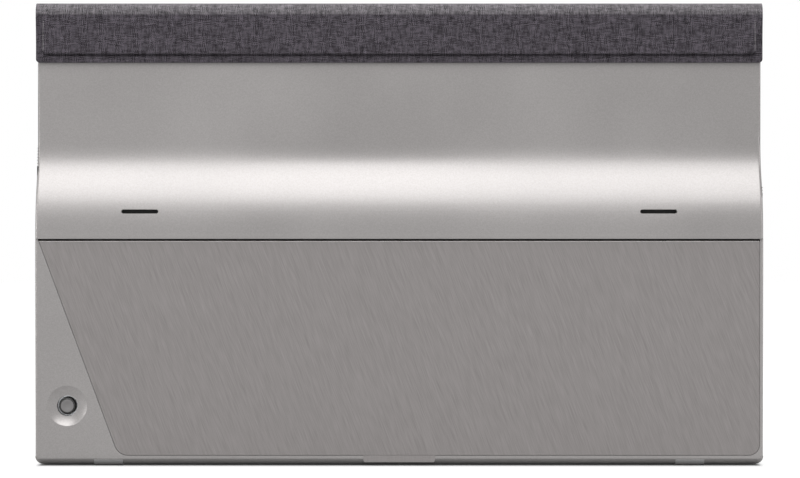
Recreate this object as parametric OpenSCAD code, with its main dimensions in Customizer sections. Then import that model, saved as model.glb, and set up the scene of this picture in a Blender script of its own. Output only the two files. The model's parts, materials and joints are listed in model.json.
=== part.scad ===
// Portable monitor with a fold-over fabric cover, standing on its lower edge.
// +Z is up, -Y is the rear with the stand, +Y is the screen side, and the origin is on the ground
// at the middle of the closed monitor's box. Millimetres.

/* [Chassis] */
// Width of the chassis
body_w = 355; // [345:1:370]
// Height of the chassis without its feet
body_h = 223; // [218:1:235]
// Thickness at the lip above the stand
body_t = 18; // [17.5:0.5:21]
// Thickness of the upper part
top_t = 7; // [6.6:0.1:8]
// Wall of the rear housing
wall_t = 1.6; // [1.2:0.1:1.9]
// Radius of the chassis corners, seen from behind
corner_r = 4; // [3:0.5:8]
// Rounding of the lower rear edge
lower_edge_r = 4.2; // [3.4:0.2:4.2]
// Rounding of the top rear edge, under the cover
top_edge_r = 2.4; // [2.3:0.1:3]
// Rounding of the top front edge, under the cover
front_edge_r = 1; // [1:0.1:1.6]
// How far the feet stand below the chassis
foot_proud = 0.6; // [0.4:0.1:1]

/* [Rear ramp] */
// Height of the straight lip between the stand and the ramp
lip_h = 3.6; // [2.5:0.1:6]
// How far the lip stands behind the lower rear face
lip_step = 1.2; // [0.8:0.1:1.5]
// Height of the ramp's rounded lower part
ramp_convex_h = 26; // [20:1:32]
// Height of the ramp's hollow upper part
ramp_hollow_h = 17.6; // [14:0.2:24]

/* [Display] */
// Frame left and right of the picture
side_frame = 5.4; // [5.3:0.1:8.5]
// Frame above the picture
brow_h = 7.4; // [7:0.1:11]
// Frame below the picture
chin_h = 22; // [21:0.5:23]
// Thickness of the bezel's front lip
bezel_lip_t = 0.8; // [0.6:0.1:1]
// Depth of the bezel's rim
bezel_rim_t = 2; // [1.9:0.1:2.2]
// Thickness of the display cell
cell_t = 1.2; // [1:0.1:1.3]
// Thickness of the light guide
guide_t = 1.4; // [1.2:0.1:1.5]
// Thickness of the tray's sheet
tray_t = 0.5; // [0.4:0.1:0.6]

/* [Stand] */
// Height of the stand plate
stand_h = 105; // [98:1:108]
// Height of the plate's lower edge above the chassis bottom
stand_low = 4.4; // [4.4:0.1:6]
// Border of chassis left beside the plate
stand_border = 1.7; // [1.6:0.1:3]
// Slope of the plate's left edge away from upright
stand_slope = 20.4; // [16:0.2:22]
// Radius of the plate's lower left corner
stand_corner_l = 6.5; // [4:0.5:9]
// Radius of the plate's lower right corner
stand_corner_r = 5.4; // [4:0.5:9]
// Thickness of the metal skin
skin_t = 1; // [0.8:0.1:1.2]
// Thickness of the moulded frame behind the skin
frame_t = 2; // [1.8:0.1:2.2]
// Radius of the plate's rolled top edge
knuckle_r = 4.5; // [4.3:0.1:4.6]
// Width of the finger tab
tab_w = 35; // [25:1:50]
// How far the tab reaches below the plate
tab_drop = 3.4; // [2:0.1:3.6]

/* [Stand hinges] */
// Distance of each hinge from the chassis side
hinge_x = 65.5; // [47.5:0.5:97.5]
// Radius of the hinge pin
hinge_pin_r = 1.25; // [1:0.05:1.4]
// Radius of the moving eye
eye_r = 2.9; // [2.6:0.1:3]
// Width of the moving eye
eye_w = 12; // [8:0.5:16]
// Width of each fixed ear
ear_w = 3; // [2:0.5:4]

/* [Menu key] */
// Distance of the key from the left side of the chassis
key_x = 15.5; // [13.5:0.5:19.5]
// Height of the key above the chassis bottom
key_h = 28.5; // [24:0.5:32]
// Radius of the dish round the key
dish_r = 10; // [8:0.5:11]
// Depth of the dish
dish_depth = 2.6; // [2:0.1:3]
// Radius of the key's well
well_r = 4.85; // [4.75:0.05:5.2]
// Radius of the key's cap
cap_r = 4; // [3.4:0.1:4]

/* [Sound] */
// Distance of each speaker slot from the chassis side
slot_x = 51; // [37.5:0.5:77.5]
// Height of the slots above the lower end of the ramp
slot_h = 9.8; // [6.4:0.2:12.6]
// Length of a slot
slot_w = 18; // [10:0.5:20]
// Height of a slot
slot_t = 2; // [1.5:0.1:3]

/* [Feet] */
// Distance of each foot from the chassis side
foot_x = 35.7; // [22.5:0.1:77.5]
// Length of a foot
foot_w = 14; // [10:0.5:24]

/* [Cover] */
// Overhang of the cover at each side
cover_side = 0.65; // [0.4:0.05:1]
// Thickness of the front panel
cover_t = 3.2; // [2.8:0.1:4]
// Thickness of the front panel at its hem
cover_hem_t = 1.6; // [1.4:0.1:2]
// Height of the rear flap, with the roll over the top
flap_h = 29.3; // [26:0.1:36]
// Thickness of the rear flap
flap_t = 2.6; // [2.4:0.1:3]
// Thickness of the rear flap at its hem
flap_hem_t = 1.4; // [1.2:0.1:1.6]
// Thickness of the roll over the top edge
roll_t = 2.4; // [2:0.1:3]
// Outer radius of the roll
roll_r = 5.2; // [4.4:0.1:5.2]
// Height of the roll above its creases
roll_h = 5.7; // [5.4:0.1:6]
// Width of the hem at the sides
hem_w = 4.5; // [3:0.1:7]
// Width of the hem below
hem_h = 3.7; // [3:0.1:6]
// Thickness of the lining cloth
lining_t = 0.6; // [0.5:0.1:0.8]
// Thickness of the outer cloth
cloth_t = 0.8; // [0.6:0.1:0.9]
// Height of the cover's lower edge above the ground
cover_low = 1.4; // [1:0.1:3]

/* [Hidden] */
$fn = 96;
soft_gap = 0.3;     // between the cover and the chassis
run_gap = 0.3;      // round the stand
slit_gap = 0.5;     // above the plate, under the lip
groove_gap = 0.4;   // radial, round the rolled edge
pin_gap = 0.05;     // radial, pins in their holes
side_gap = 0.2;     // beside the hinge eyes
depth = body_t + soft_gap + cover_t;
face_y = body_t - depth / 2;              // screen face
rear_y = face_y - body_t;                 // lip above the stand
thin_y = face_y - top_t;                  // upper rear face
low_y = rear_y + lip_step;                // lower rear face and stand plate
split_y = face_y - bezel_rim_t;           // parting plane of bezel and housing
half_w = body_w / 2;
base_z = foot_proud;
top_z = base_z + body_h;
key_mid = key_x - half_w;
slot_mid = half_w - slot_x;
hinge_mid = half_w - hinge_x;
foot_mid = half_w - foot_x;

stand_z0 = base_z + stand_low;
stand_z1 = stand_z0 + stand_h;
lip_z = stand_z1 + slit_gap;
ramp_z0 = lip_z + lip_h;
ramp_depth = body_t - top_t;
ramp_angle = 2 * atan(ramp_depth / (ramp_convex_h + ramp_hollow_h));
convex_r = ramp_convex_h / sin(ramp_angle);
hollow_r = ramp_hollow_h / sin(ramp_angle);
ramp_z1 = ramp_z0 + ramp_convex_h;
ramp_z2 = ramp_z1 + ramp_hollow_h;

stand_t = skin_t + frame_t;
skin_y = low_y + skin_t;                  // between skin and frame
stand_in_y = low_y + stand_t;             // inner face of the frame
floor_y = stand_in_y + run_gap;           // floor of the stand's recess
floor_t = 1.5;
floor_in_y = floor_y + floor_t;           // inner side of that floor
axis_y = low_y + knuckle_r;
axis_z = stand_z1 - knuckle_r;
groove_r = knuckle_r + groove_gap;
groove_wall_t = 1.4;
groove_wall_r = groove_r + groove_wall_t;
stand_right = half_w - stand_border;
stand_left_trim = 0.2;                    // the plate reaches this much closer to the left side
stand_left = -half_w + stand_border - stand_left_trim;
stand_low_x = stand_left + stand_h * tan(stand_slope);
tab_z0 = stand_z0 - tab_drop;
tab_t = 1.6;
bracket_t = 1.2;
bracket_w = eye_w + 2 * (side_gap + ear_w) + 8;
bracket_z0 = axis_z - 17;
leaf_t = 1.2;
leaf_z0 = axis_z - 18;
leaf_screw_z = [axis_z - 15.5, axis_z - 9.5];
grip_w = 60;
grip_h = 2.2;
grip_mid = half_w - 77.5;

picture_w = body_w - 2 * side_frame;
picture_h = body_h - chin_h - brow_h;
picture_z0 = base_z + chin_h;
cell_x = picture_w / 2 + 2.9;
cell_z0 = picture_z0 - 8;
cell_z1 = picture_z0 + picture_h + 3;
cell_y = face_y - bezel_lip_t;            // front of the cell
guide_y = cell_y - cell_t;                // front of the light guide
tray_y = guide_y - guide_t;               // front of the tray's sheet
tray_back_y = tray_y - tray_t;
tray_wall = 0.5;
lamp_pitch = 12;
rim_wall = 1.4;
thin_in_y = thin_y + wall_t;              // inner side of the upper wall
rib_count = 8;
rib_t = 1.2;
rib_end_x = half_w - 23.5;

board_y = tray_back_y - 1.3;              // front of the boards
board_t = 1.2;
board_back_y = board_y - board_t;
board_w = 111.9;
board_side = 5.6;                         // board to the chassis side
board_x1 = half_w - board_side;
board_x0 = board_x1 - board_w;
board_z0 = base_z + 14;
board_z1 = base_z + 74;
chip_pitch = 11;
can_pitch = 8;
shield_x0 = board_x0 + 52;
shield_z0 = board_z0 + 22;
shield_w = 28;
shield_h = 20;
shield_wall = 0.4;
pillar_r = 2.4;
screw_r = 0.95;
screw_head_r = 1.9;
screw_head_t = 0.9;
board_pillars = [for (x = [board_x0 + 5, board_x1 - 12], z = [board_z0 + 5, board_z1 - 5]) [x, z]];
screw_outer_x = half_w - 47.5;
screw_inner_x = half_w - 132.5;
chassis_screw_x = [-screw_outer_x, -screw_inner_x, screw_inner_x, screw_outer_x];
chassis_screw_z = base_z + 8.6;

port_pitch = 14;
port_z = [for (i = [0:3]) board_z0 + 8 + i * port_pitch];
port_gap = 0.15;
usb_w = 8.94;
usb_t = 3.26;
usb_l = 8;
hdmi_w = 11.2;
hdmi_t = 3.2;
hdmi_l = 8.5;
jack_bore_r = 1.8;
jack_nose_r = 2.6;
jack_l = 12;
jack_y = board_back_y - 2.9;
jack_tip_x = half_w - 0.4;

key_y = face_y - 10.4;                    // the key's tilt axes
key_z = base_z + key_h;
key_board_w = 21;
key_board_h = 24;
key_board_z0 = key_z - 11;
can_w = 11;
can_bore_r = 4.5;
can_top_y = floor_in_y + 0.2;
ring_r = 4.2;
ring_bore_r = 3.1;
ring_t = 1.8;
trunnion_r = 0.5;
stem_r = 1.6;
stem_tip_y = key_y - 3.2;
cap_skirt_y = key_y - 1.9;
cap_top_y = low_y + 1.1;
dish_ball_r = (dish_r * dish_r + dish_depth * dish_depth) / (2 * dish_depth);

slot_z = ramp_z0 + slot_h;
speaker_w = 30;
speaker_h = 14;
speaker_t = 4.6;
duct_y = rear_y + 4.4;                    // inner rim of the sound duct
gauze_t = 0.4;
duct_wall = 1.2;

magnet_w = 18;
magnet_h = 7;
magnet_t = 1.2;
magnet_outer_x = half_w - 47.5;
magnet_inner_x = half_w - 127.5;
flap_magnet_x = [-magnet_outer_x, -magnet_inner_x, magnet_inner_x, magnet_outer_x];
chin_magnet_side = 22.5;
chin_magnet_x = [chin_magnet_side - half_w, half_w - chin_magnet_side];
chin_magnet_h = 5;

cover_x = half_w + cover_side;
roll_top = top_z + soft_gap + roll_t;
crease_z = roll_top - roll_h;
crease_gap = 0.3;
panel_in_y = face_y + soft_gap;
panel_out_y = panel_in_y + cover_t;
flap_in_y = thin_y - soft_gap;
flap_out_y = flap_in_y - flap_t;
flap_z0 = roll_top - flap_h;
flap_z1 = crease_z - crease_gap / 2;
field_top = 0.9;                          // hem above the raised fields
flap_field_z1 = flap_z1 - field_top;
panel_z0 = cover_low;
panel_z1 = crease_z - crease_gap / 2;
field_r = 2.5;
cover_r = 4;
flap_r = 1.8;
lining_in = 1.2;                          // cloth turned over the lining's edge
cover_magnet_z = panel_z0 + hem_h + cloth_t + 1 + chin_magnet_h / 2;
flap_magnet_z = (flap_z0 + hem_h + flap_field_z1) / 2;

// ---- drawing aids ----

// Extrudes a (y, z) section along X.
module along_x(x0, x1) {
    translate([x0, 0, 0])
        rotate([90, 0, 90])
            linear_extrude(x1 - x0)
                children();
}

// Extrudes an (x, z) outline along Y.
module along_y(y0, y1) {
    translate([0, y1, 0])
        rotate([90, 0, 0])
            linear_extrude(y1 - y0)
                children();
}

module rect(a0, b0, a1, b1) {
    translate([a0, b0])
        square([a1 - a0, b1 - b0]);
}

module disc(a, b, r) {
    translate([a, b])
        circle(r);
}

// Rectangle with its four corners rounded by true arcs.
module round_rect(a0, b0, a1, b1, r) {
    rect(a0 + r, b0, a1 - r, b1);
    rect(a0, b0 + r, a1, b1 - r);
    for (a = [a0 + r, a1 - r], b = [b0 + r, b1 - r])
        disc(a, b, r);
}

// Box between two corners.
module block(p, q) {
    translate(p)
        cube(q - p);
}

// Rod along Y from y0 to y1.
module rod_y(x, z, r, y0, y1) {
    translate([x, y1, z])
        rotate([90, 0, 0])
            cylinder(r = r, h = y1 - y0);
}

// Rod along X from x0 to x1.
module rod_x(y, z, r, x0, x1) {
    translate([x0, y, z])
        rotate([0, 90, 0])
            cylinder(r = r, h = x1 - x0);
}

// Rod along Z from z0 to z1.
module rod_z(x, y, r, z0, z1) {
    translate([x, y, z0])
        cylinder(r = r, h = z1 - z0);
}

// Screw whose head lies at the rear, pointing to +Y.
module screw_y(x, z, y_seat, y_tip, r, head_r, head_t) {
    rod_y(x, z, r, y_seat, y_tip);
    rod_y(x, z, head_r, y_seat - head_t, y_seat);
}

// ---- chassis section ----

// The housing's (y, z) section, drawn in by an inset: lip, ramp and thin upper part.
module chassis_section(inset) {
    thin = thin_y + inset;
    lip = rear_y + inset;
    turn_z = ramp_z1 - inset * sin(ramp_angle);
    rect(thin, base_z + inset, split_y, top_z - inset);
    rect(lip, lip_z + inset, split_y, ramp_z0);
    rect(low_y + inset, base_z + inset, split_y, lip_z + inset);
    intersection() {
        disc(rear_y + convex_r, ramp_z0, convex_r - inset);
        rect(lip, ramp_z0, split_y, turn_z);
    }
    difference() {
        rect(lip, turn_z, split_y, ramp_z2);
        disc(thin_y - hollow_r, ramp_z2, hollow_r + inset);
    }
}

// Cuts a quarter-round edge of radius r at (y, z); sy and sz point out of the corner.
module edge_cut(y, z, r, sy, sz) {
    difference() {
        translate([sy > 0 ? y - r : y - 1, sz > 0 ? z - r : z - 1])
            square(r + 1);
        disc(y - sy * r, z - sz * r, r);
    }
}

module chassis_outline(inset) {
    round_rect(-half_w + inset, base_z + inset, half_w - inset, top_z - inset, corner_r);
}

// Cuts both rounded top edges and the rounded lower rear edge, along the whole width.
module chassis_edges() {
    along_x(-half_w - 1, half_w + 1) {
        edge_cut(low_y, base_z, lower_edge_r, -1, -1);
        edge_cut(thin_y, top_z, top_edge_r, -1, 1);
        edge_cut(face_y, top_z, front_edge_r, 1, 1);
    }
}

// ---- stand outline ----

// The stand's (x, z) outline grown by a margin, with its sloped left edge and two round corners.
module stand_outline(grow) {
    slope_in = grow / cos(stand_slope);
    z0 = stand_z0 - grow;
    x_top = stand_left - slope_in;
    x_low = stand_low_x - slope_in + (stand_z0 - z0) * tan(stand_slope);
    x_right = stand_right + grow;
    r_l = stand_corner_l + grow;
    r_r = stand_corner_r + grow;
    // the lower left corner's turn is 90 degrees less the slope
    lead = r_l * tan((90 - stand_slope) / 2);
    centre_x = x_low + lead;
    difference() {
        polygon([
            [x_top, stand_z1], [x_low, z0], [x_right, z0],
            [x_right, stand_z1 + 5], [x_top, stand_z1 + 5]
        ]);
        difference() {
            polygon([
                [x_low - 1, z0 - 1],
                [centre_x, z0 - 1],
                [centre_x, z0 + r_l],
                [centre_x - r_l * cos(stand_slope), z0 + r_l - r_l * sin(stand_slope)],
                [x_low - lead * sin(stand_slope) - 1, z0 + lead * cos(stand_slope)]
            ]);
            disc(centre_x, z0 + r_l, r_l);
        }
        difference() {
            rect(x_right - r_r, z0 - 1, x_right + 1, z0 + r_r);
            disc(x_right - r_r, z0 + r_r, r_r);
        }
    }
}

// ---- rear housing ----

module inner_hollow() {
    intersection() {
        along_x(-half_w + wall_t, half_w - wall_t) {
            difference() {
                chassis_section(wall_t);
                rect(rear_y, base_z, floor_in_y, lip_z + wall_t);
                disc(axis_y, axis_z, groove_wall_r);
            }
        }
        along_y(rear_y, split_y)
            chassis_outline(wall_t);
    }
}

module inner_ribs() {
    // upright ribs that carry the display tray in the thin part, notched round the magnets
    difference() {
        for (i = [0:rib_count - 1]) {
            x = -rib_end_x + i * 2 * rib_end_x / (rib_count - 1);
            block(
                [x - rib_t / 2, thin_y + wall_t / 2, ramp_z2 + 4],
                [x + rib_t / 2, tray_back_y, top_z - wall_t / 2]
            );
        }
        magnet_bars(flap_magnet_x, flap_magnet_z, thin_in_y, tray_back_y + 1, magnet_h, run_gap);
    }
    // pillars for the main board, the menu key's board and the chassis screws
    for (p = board_pillars)
        rod_y(p[0], p[1], pillar_r, floor_in_y - 0.5, board_back_y);
    for (s = [-1, 1])
        rod_y(
            key_mid + s * (key_board_w / 2 - 3),
            key_board_z0 + key_board_h / 2 + s * (key_board_h / 2 - 3.5),
            1.8, floor_in_y - 0.5, board_back_y
        );
    for (x = chassis_screw_x)
        rod_y(x, chassis_screw_z, pillar_r, floor_in_y - 0.5, floor_in_y + 3);
    // sound ducts behind the slots
    for (s = [-1, 1])
        along_y(rear_y + 1.5, duct_y)
            round_rect(
                s * slot_mid - slot_w / 2 - 2, slot_z - slot_t / 2 - 2,
                s * slot_mid + slot_w / 2 + 2, slot_z + slot_t / 2 + 2, 1
            );
}

module stand_recess() {
    along_y(rear_y - 1, floor_y)
        intersection() {
            stand_outline(run_gap);
            rect(-half_w, base_z, half_w, lip_z);
        }
    rod_x(axis_y, axis_z, groove_r, stand_left - run_gap, stand_right + run_gap);
    // notch for the finger tab through the rounded lower edge
    along_y(rear_y - 1, low_y + tab_t + run_gap)
        rect(-tab_w / 2 - run_gap, tab_z0 - run_gap, tab_w / 2 + run_gap, stand_z0 + 1);
    // seats for the two hinge brackets
    for (s = [-1, 1])
        block(
            [s * hinge_mid - bracket_w / 2, floor_y - 1, bracket_z0],
            [s * hinge_mid + bracket_w / 2, floor_y + bracket_t, axis_z - 2]
        );
}

module port_cuts() {
    for (i = [1, 2])
        along_x(half_w - wall_t - 6, half_w + 1)
            round_rect(
                board_back_y - usb_t - port_gap, port_z[i] - usb_w / 2 - port_gap,
                board_back_y + port_gap, port_z[i] + usb_w / 2 + port_gap, usb_t / 2
            );
    along_x(half_w - wall_t - 6, half_w + 1)
        rect(
            board_back_y - hdmi_t - port_gap, port_z[3] - hdmi_w / 2 - port_gap,
            board_back_y + port_gap, port_z[3] + hdmi_w / 2 + port_gap
        );
    rod_x(jack_y, port_z[0], jack_nose_r + 0.1, half_w - wall_t - 3, half_w + 1);
}

module rear_housing() {
    color([0.62, 0.60, 0.59])
    difference() {
        union() {
            difference() {
                intersection() {
                    along_x(-half_w, half_w)
                        chassis_section(0);
                    along_y(rear_y - 1, split_y)
                        chassis_outline(0);
                }
                inner_hollow();
            }
            inner_ribs();
            // thicker floor under the hinge brackets
            for (s = [-1, 1])
                block(
                    [s * hinge_mid - bracket_w / 2 - 1.5, floor_y - 0.5, bracket_z0 - 1.5],
                    [s * hinge_mid + bracket_w / 2 + 1.5, floor_in_y + bracket_t + 0.6, axis_z - 2]
                );
        }
        chassis_edges();
        stand_recess();
        port_cuts();
        foot_seats();
        // dish and well of the menu key
        translate([key_mid, low_y + dish_depth - dish_ball_r, key_z])
            sphere(dish_ball_r);
        rod_y(key_mid, key_z, well_r, low_y, floor_in_y + 1);
        for (s = [-1, 1])
            along_y(rear_y - 1, duct_y + 1)
                round_rect(
                    s * slot_mid - slot_w / 2, slot_z - slot_t / 2,
                    s * slot_mid + slot_w / 2, slot_z + slot_t / 2, slot_t / 2 - 0.01
                );
        for (s = [-1, 1])
            along_y(rear_y + 3, duct_y + 1)
                round_rect(
                    s * slot_mid - slot_w / 2 - 0.8, slot_z - slot_t / 2 - 0.8,
                    s * slot_mid + slot_w / 2 + 0.8, slot_z + slot_t / 2 + 0.8, 0.5
                );
        // screw holes
        for (x = chassis_screw_x) {
            rod_y(x, chassis_screw_z, screw_r + pin_gap, floor_y - 1, floor_in_y + 4);
            rod_y(x, chassis_screw_z, screw_head_r + 0.2, floor_y - 1, floor_y + screw_head_t);
        }
        for (p = board_pillars)
            rod_y(p[0], p[1], screw_r + pin_gap, board_back_y - 3, board_back_y + 1);
        for (s = [-1, 1], t = [-1, 1])
            rod_y(
                s * hinge_mid + t * (bracket_w / 2 - 3), bracket_z0 + 3, screw_r + pin_gap,
                floor_y, floor_y + bracket_t + 1.6
            );
    }
}

// ---- feet ----

// The foot's (y, z) section: a pad under the chassis that wraps up its rounded rear edge.
module foot_section(out, seat) {
    intersection() {
        union() {
            rect(low_y + lower_edge_r, base_z - out, split_y - 0.5, base_z + seat);
            difference() {
                disc(low_y + lower_edge_r, base_z + lower_edge_r, lower_edge_r + out);
                disc(low_y + lower_edge_r, base_z + lower_edge_r, lower_edge_r - seat);
            }
        }
        rect(low_y - out, base_z - out, split_y - 0.5, base_z + lower_edge_r * 0.55);
    }
}

module foot_at(x) {
    along_x(x - foot_w / 2, x + foot_w / 2)
        foot_section(foot_proud, 0.8);
}

module foot_seats() {
    for (s = [-1, 1])
        foot_at(s * foot_mid);
}

module left_foot() {
    color([0.42, 0.42, 0.43])
        foot_at(-foot_mid);
}

module right_foot() {
    color([0.42, 0.42, 0.43])
        foot_at(foot_mid);
}

// ---- display ----

module front_bezel() {
    color([0.12, 0.12, 0.13])
    difference() {
        union() {
            difference() {
                along_y(split_y, face_y)
                    chassis_outline(0);
                along_y(split_y - 1, face_y - bezel_lip_t)
                    chassis_outline(rim_wall);
            }
            // bosses for the chassis screws
            for (x = chassis_screw_x)
                rod_y(x, chassis_screw_z, pillar_r, floor_in_y + 3, face_y - bezel_lip_t / 2);
        }
        along_y(split_y - 1, face_y + 1)
            rect(-picture_w / 2, picture_z0, picture_w / 2, picture_z0 + picture_h);
        chassis_edges();
        for (x = chassis_screw_x)
            rod_y(x, chassis_screw_z, screw_r + pin_gap, floor_in_y + 2, face_y - 4);
    }
}

module lcd_panel() {
    color([0.03, 0.03, 0.04])
        block([-cell_x, guide_y, cell_z0], [cell_x, cell_y, cell_z1]);
}

module light_guide() {
    color([0.9, 0.92, 0.94])
        block(
            [-cell_x + 1.4, tray_y, cell_z0 + 4.5 + 1.6],
            [cell_x - 1.4, guide_y, cell_z1 - 1.4]
        );
}

module led_strip() {
    color([0.95, 0.93, 0.80])
    difference() {
        block([-cell_x + 4, tray_y, cell_z0 + 4.7], [cell_x - 4, guide_y, cell_z0 + 4.5 + 1.6]);
        // gaps between the lamps
        for (x = [-cell_x + 7:lamp_pitch:cell_x - 7])
            block([x, tray_y - 1, cell_z0 + 5.5], [x + 4, guide_y + 1, cell_z0 + 8]);
    }
}

module panel_tray() {
    color([0.72, 0.73, 0.75])
    difference() {
        block([-cell_x, tray_back_y, cell_z0 + 4], [cell_x, guide_y, cell_z1]);
        block(
            [-cell_x + tray_wall, tray_y, cell_z0 + 4 + tray_wall],
            [cell_x - tray_wall, guide_y + 1, cell_z1 - tray_wall]
        );
    }
}

// ---- electronics ----

module main_board() {
    color([0.07, 0.28, 0.16])
    difference() {
        block([board_x0, board_back_y, board_z0], [board_x1, board_y, board_z1]);
        for (p = board_pillars)
            rod_y(p[0], p[1], screw_r + pin_gap, board_back_y - 1, board_y + 1);
    }
}

module board_chips() {
    color([0.10, 0.10, 0.11]) {
        block(
            [board_x0 + 22, board_back_y - 1.4, board_z0 + 24],
            [board_x0 + 38, board_back_y, board_z0 + 40]
        );
        block(
            [board_x0 + 66, board_back_y - 1.2, board_z0 + 8],
            [board_x0 + 78, board_back_y, board_z0 + 18]
        );
        for (i = [0:3])
            block(
                [board_x0 + 46 + i * chip_pitch, board_back_y - 1, board_z0 + 46],
                [board_x0 + 53 + i * chip_pitch, board_back_y, board_z0 + 54]
            );
        for (i = [0:4])
            rod_y(board_x0 + 15 + i * can_pitch, board_z0 + 10, 2.6, board_back_y - 4.2, board_back_y);
    }
}

module shield_can() {
    color([0.78, 0.79, 0.80])
    difference() {
        block(
            [shield_x0, board_back_y - 2.4, shield_z0],
            [shield_x0 + shield_w, board_back_y, shield_z0 + shield_h]
        );
        block(
            [shield_x0 + shield_wall, board_back_y - 2, shield_z0 + shield_wall],
            [shield_x0 + shield_w - shield_wall, board_back_y + 1, shield_z0 + shield_h - shield_wall]
        );
        for (i = [0:3], j = [0:2])
            rod_y(shield_x0 + 4 + i * 6, shield_z0 + 4 + j * 6, 0.9, board_back_y - 3, board_back_y - 1);
    }
}

module board_screws() {
    color([0.75, 0.75, 0.76])
        for (p = board_pillars) {
            rod_y(p[0], p[1], screw_r, board_back_y - 2.8, board_y);
            rod_y(p[0], p[1], screw_head_r, board_y, board_y + screw_head_t);
        }
}

// USB-C socket with its tongue, opening to +X, with its middle at height z.
module usb_c_port(z) {
    x1 = half_w - 0.3;
    y0 = board_back_y - usb_t;
    difference() {
        along_x(x1 - usb_l, x1)
            round_rect(y0, z - usb_w / 2, board_back_y, z + usb_w / 2, usb_t / 2 - 0.01);
        along_x(x1 - usb_l + 1, x1 + 1)
            round_rect(
                y0 + 0.35, z - usb_w / 2 + 0.3, board_back_y - 0.35, z + usb_w / 2 - 0.3,
                usb_t / 2 - 0.36
            );
    }
    block([x1 - usb_l + 0.5, y0 + usb_t / 2 - 0.35, z - 3.3], [x1 - 1, y0 + usb_t / 2 + 0.35, z + 3.3]);
}

module usb_c_ports() {
    color([0.70, 0.71, 0.72]) {
        usb_c_port(port_z[1]);
        usb_c_port(port_z[2]);
    }
}

// (y, z) mouth of the video socket, with its two cut corners, drawn in by an inset.
module hdmi_mouth(inset) {
    y0 = board_back_y - hdmi_t + inset;
    y1 = board_back_y - inset;
    z0 = port_z[3] - hdmi_w / 2 + inset;
    z1 = port_z[3] + hdmi_w / 2 - inset;
    polygon([[y1, z0], [y1, z1], [y0 + 1.2, z1], [y0, z1 - 1.2], [y0, z0 + 1.2], [y0 + 1.2, z0]]);
}

module mini_hdmi_port() {
    x1 = half_w - 0.3;
    y0 = board_back_y - hdmi_t;
    color([0.70, 0.71, 0.72]) {
        difference() {
            along_x(x1 - hdmi_l, x1)
                hdmi_mouth(0);
            along_x(x1 - hdmi_l + 1, x1 + 1)
                hdmi_mouth(0.35);
        }
        block(
            [x1 - hdmi_l + 0.5, y0 + hdmi_t / 2 - 0.3, port_z[3] - 4],
            [x1 - 1, y0 + hdmi_t / 2 + 0.3, port_z[3] + 4]
        );
    }
}

module audio_jack() {
    color([0.14, 0.14, 0.15])
    difference() {
        union() {
            block(
                [jack_tip_x - jack_l - 1, jack_y - jack_nose_r, port_z[0] - 3],
                [half_w - wall_t - 0.1, board_back_y, port_z[0] + 3]
            );
            rod_x(jack_y, port_z[0], jack_nose_r, half_w - wall_t - 2, jack_tip_x);
        }
        rod_x(jack_y, port_z[0], jack_bore_r, jack_tip_x - jack_l, jack_tip_x + 1);
    }
}

module panel_ribbon() {
    t = 0.3;
    y_cell = cell_y - cell_t / 2;
    z_low = cell_z0 - 1.2;
    color([0.75, 0.48, 0.16])
        along_x(board_x0 + 22, board_x0 + 52) {
            rect(y_cell - t, z_low, y_cell, cell_z0);
            rect(board_y, z_low, y_cell, z_low + t);
            rect(board_y, z_low, board_y + t, board_z0 + 14);
        }
}

module key_cable() {
    color([0.85, 0.85, 0.83])
        block(
            [key_mid + 6, board_y, key_board_z0 + 13],
            [board_x0 + 6, board_y + 0.3, key_board_z0 + 19]
        );
}

module speaker_leads() {
    r = 0.3;
    y = board_y + r;
    z_low = board_z1 - 12;
    z_top = slot_z - 5;
    color([0.75, 0.12, 0.10]) {
        for (s = [-1, 1]) {
            rod_z(s * slot_mid, y, r, z_low, z_top);
            rod_y(s * slot_mid, z_top, r, duct_y + gauze_t + speaker_t, y);
            translate([s * slot_mid, y, z_top])
                sphere(r = r, $fn = 24);
        }
        rod_x(y, z_low, r, -slot_mid, board_x0 + 8);
        translate([-slot_mid, y, z_low])
            sphere(r = r, $fn = 24);
    }
}

module speaker(x) {
    y0 = duct_y + gauze_t;
    difference() {
        block(
            [x - speaker_w / 2, y0, slot_z - speaker_h / 2],
            [x + speaker_w / 2, y0 + speaker_t, slot_z + speaker_h / 2]
        );
        // open mouth in front of the cone
        along_y(y0 - 1, y0 + 1)
            round_rect(
                x - slot_w / 2 - 1, slot_z - slot_t / 2 - 3,
                x + slot_w / 2 + 1, slot_z + slot_t / 2 + 3, 3.5
            );
    }
}

module left_speaker() {
    color([0.11, 0.11, 0.12])
        speaker(-slot_mid);
}

module right_speaker() {
    color([0.11, 0.11, 0.12])
        speaker(slot_mid);
}

module speaker_gauzes() {
    color([0.05, 0.05, 0.05])
        for (s = [-1, 1])
            block(
                [s * slot_mid - slot_w / 2 - 2, duct_y, slot_z - slot_t / 2 - 2],
                [s * slot_mid + slot_w / 2 + 2, duct_y + gauze_t, slot_z + slot_t / 2 + 2]
            );
}

// ---- menu key ----

module key_board() {
    color([0.07, 0.28, 0.16])
        block(
            [key_mid - key_board_w / 2, board_back_y, key_board_z0],
            [key_mid + key_board_w / 2, board_y, key_board_z0 + key_board_h]
        );
}

module joystick_switch() {
    color([0.70, 0.71, 0.72])
    difference() {
        block(
            [key_mid - can_w / 2, can_top_y, key_z - can_w / 2],
            [key_mid + can_w / 2, board_back_y, key_z + can_w / 2]
        );
        rod_y(key_mid, key_z, can_bore_r, can_top_y - 1, board_back_y - 1.2);
        rod_z(key_mid, key_y, trunnion_r + pin_gap, key_z - can_w / 2 - 1, key_z + can_w / 2 + 1);
    }
}

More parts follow.
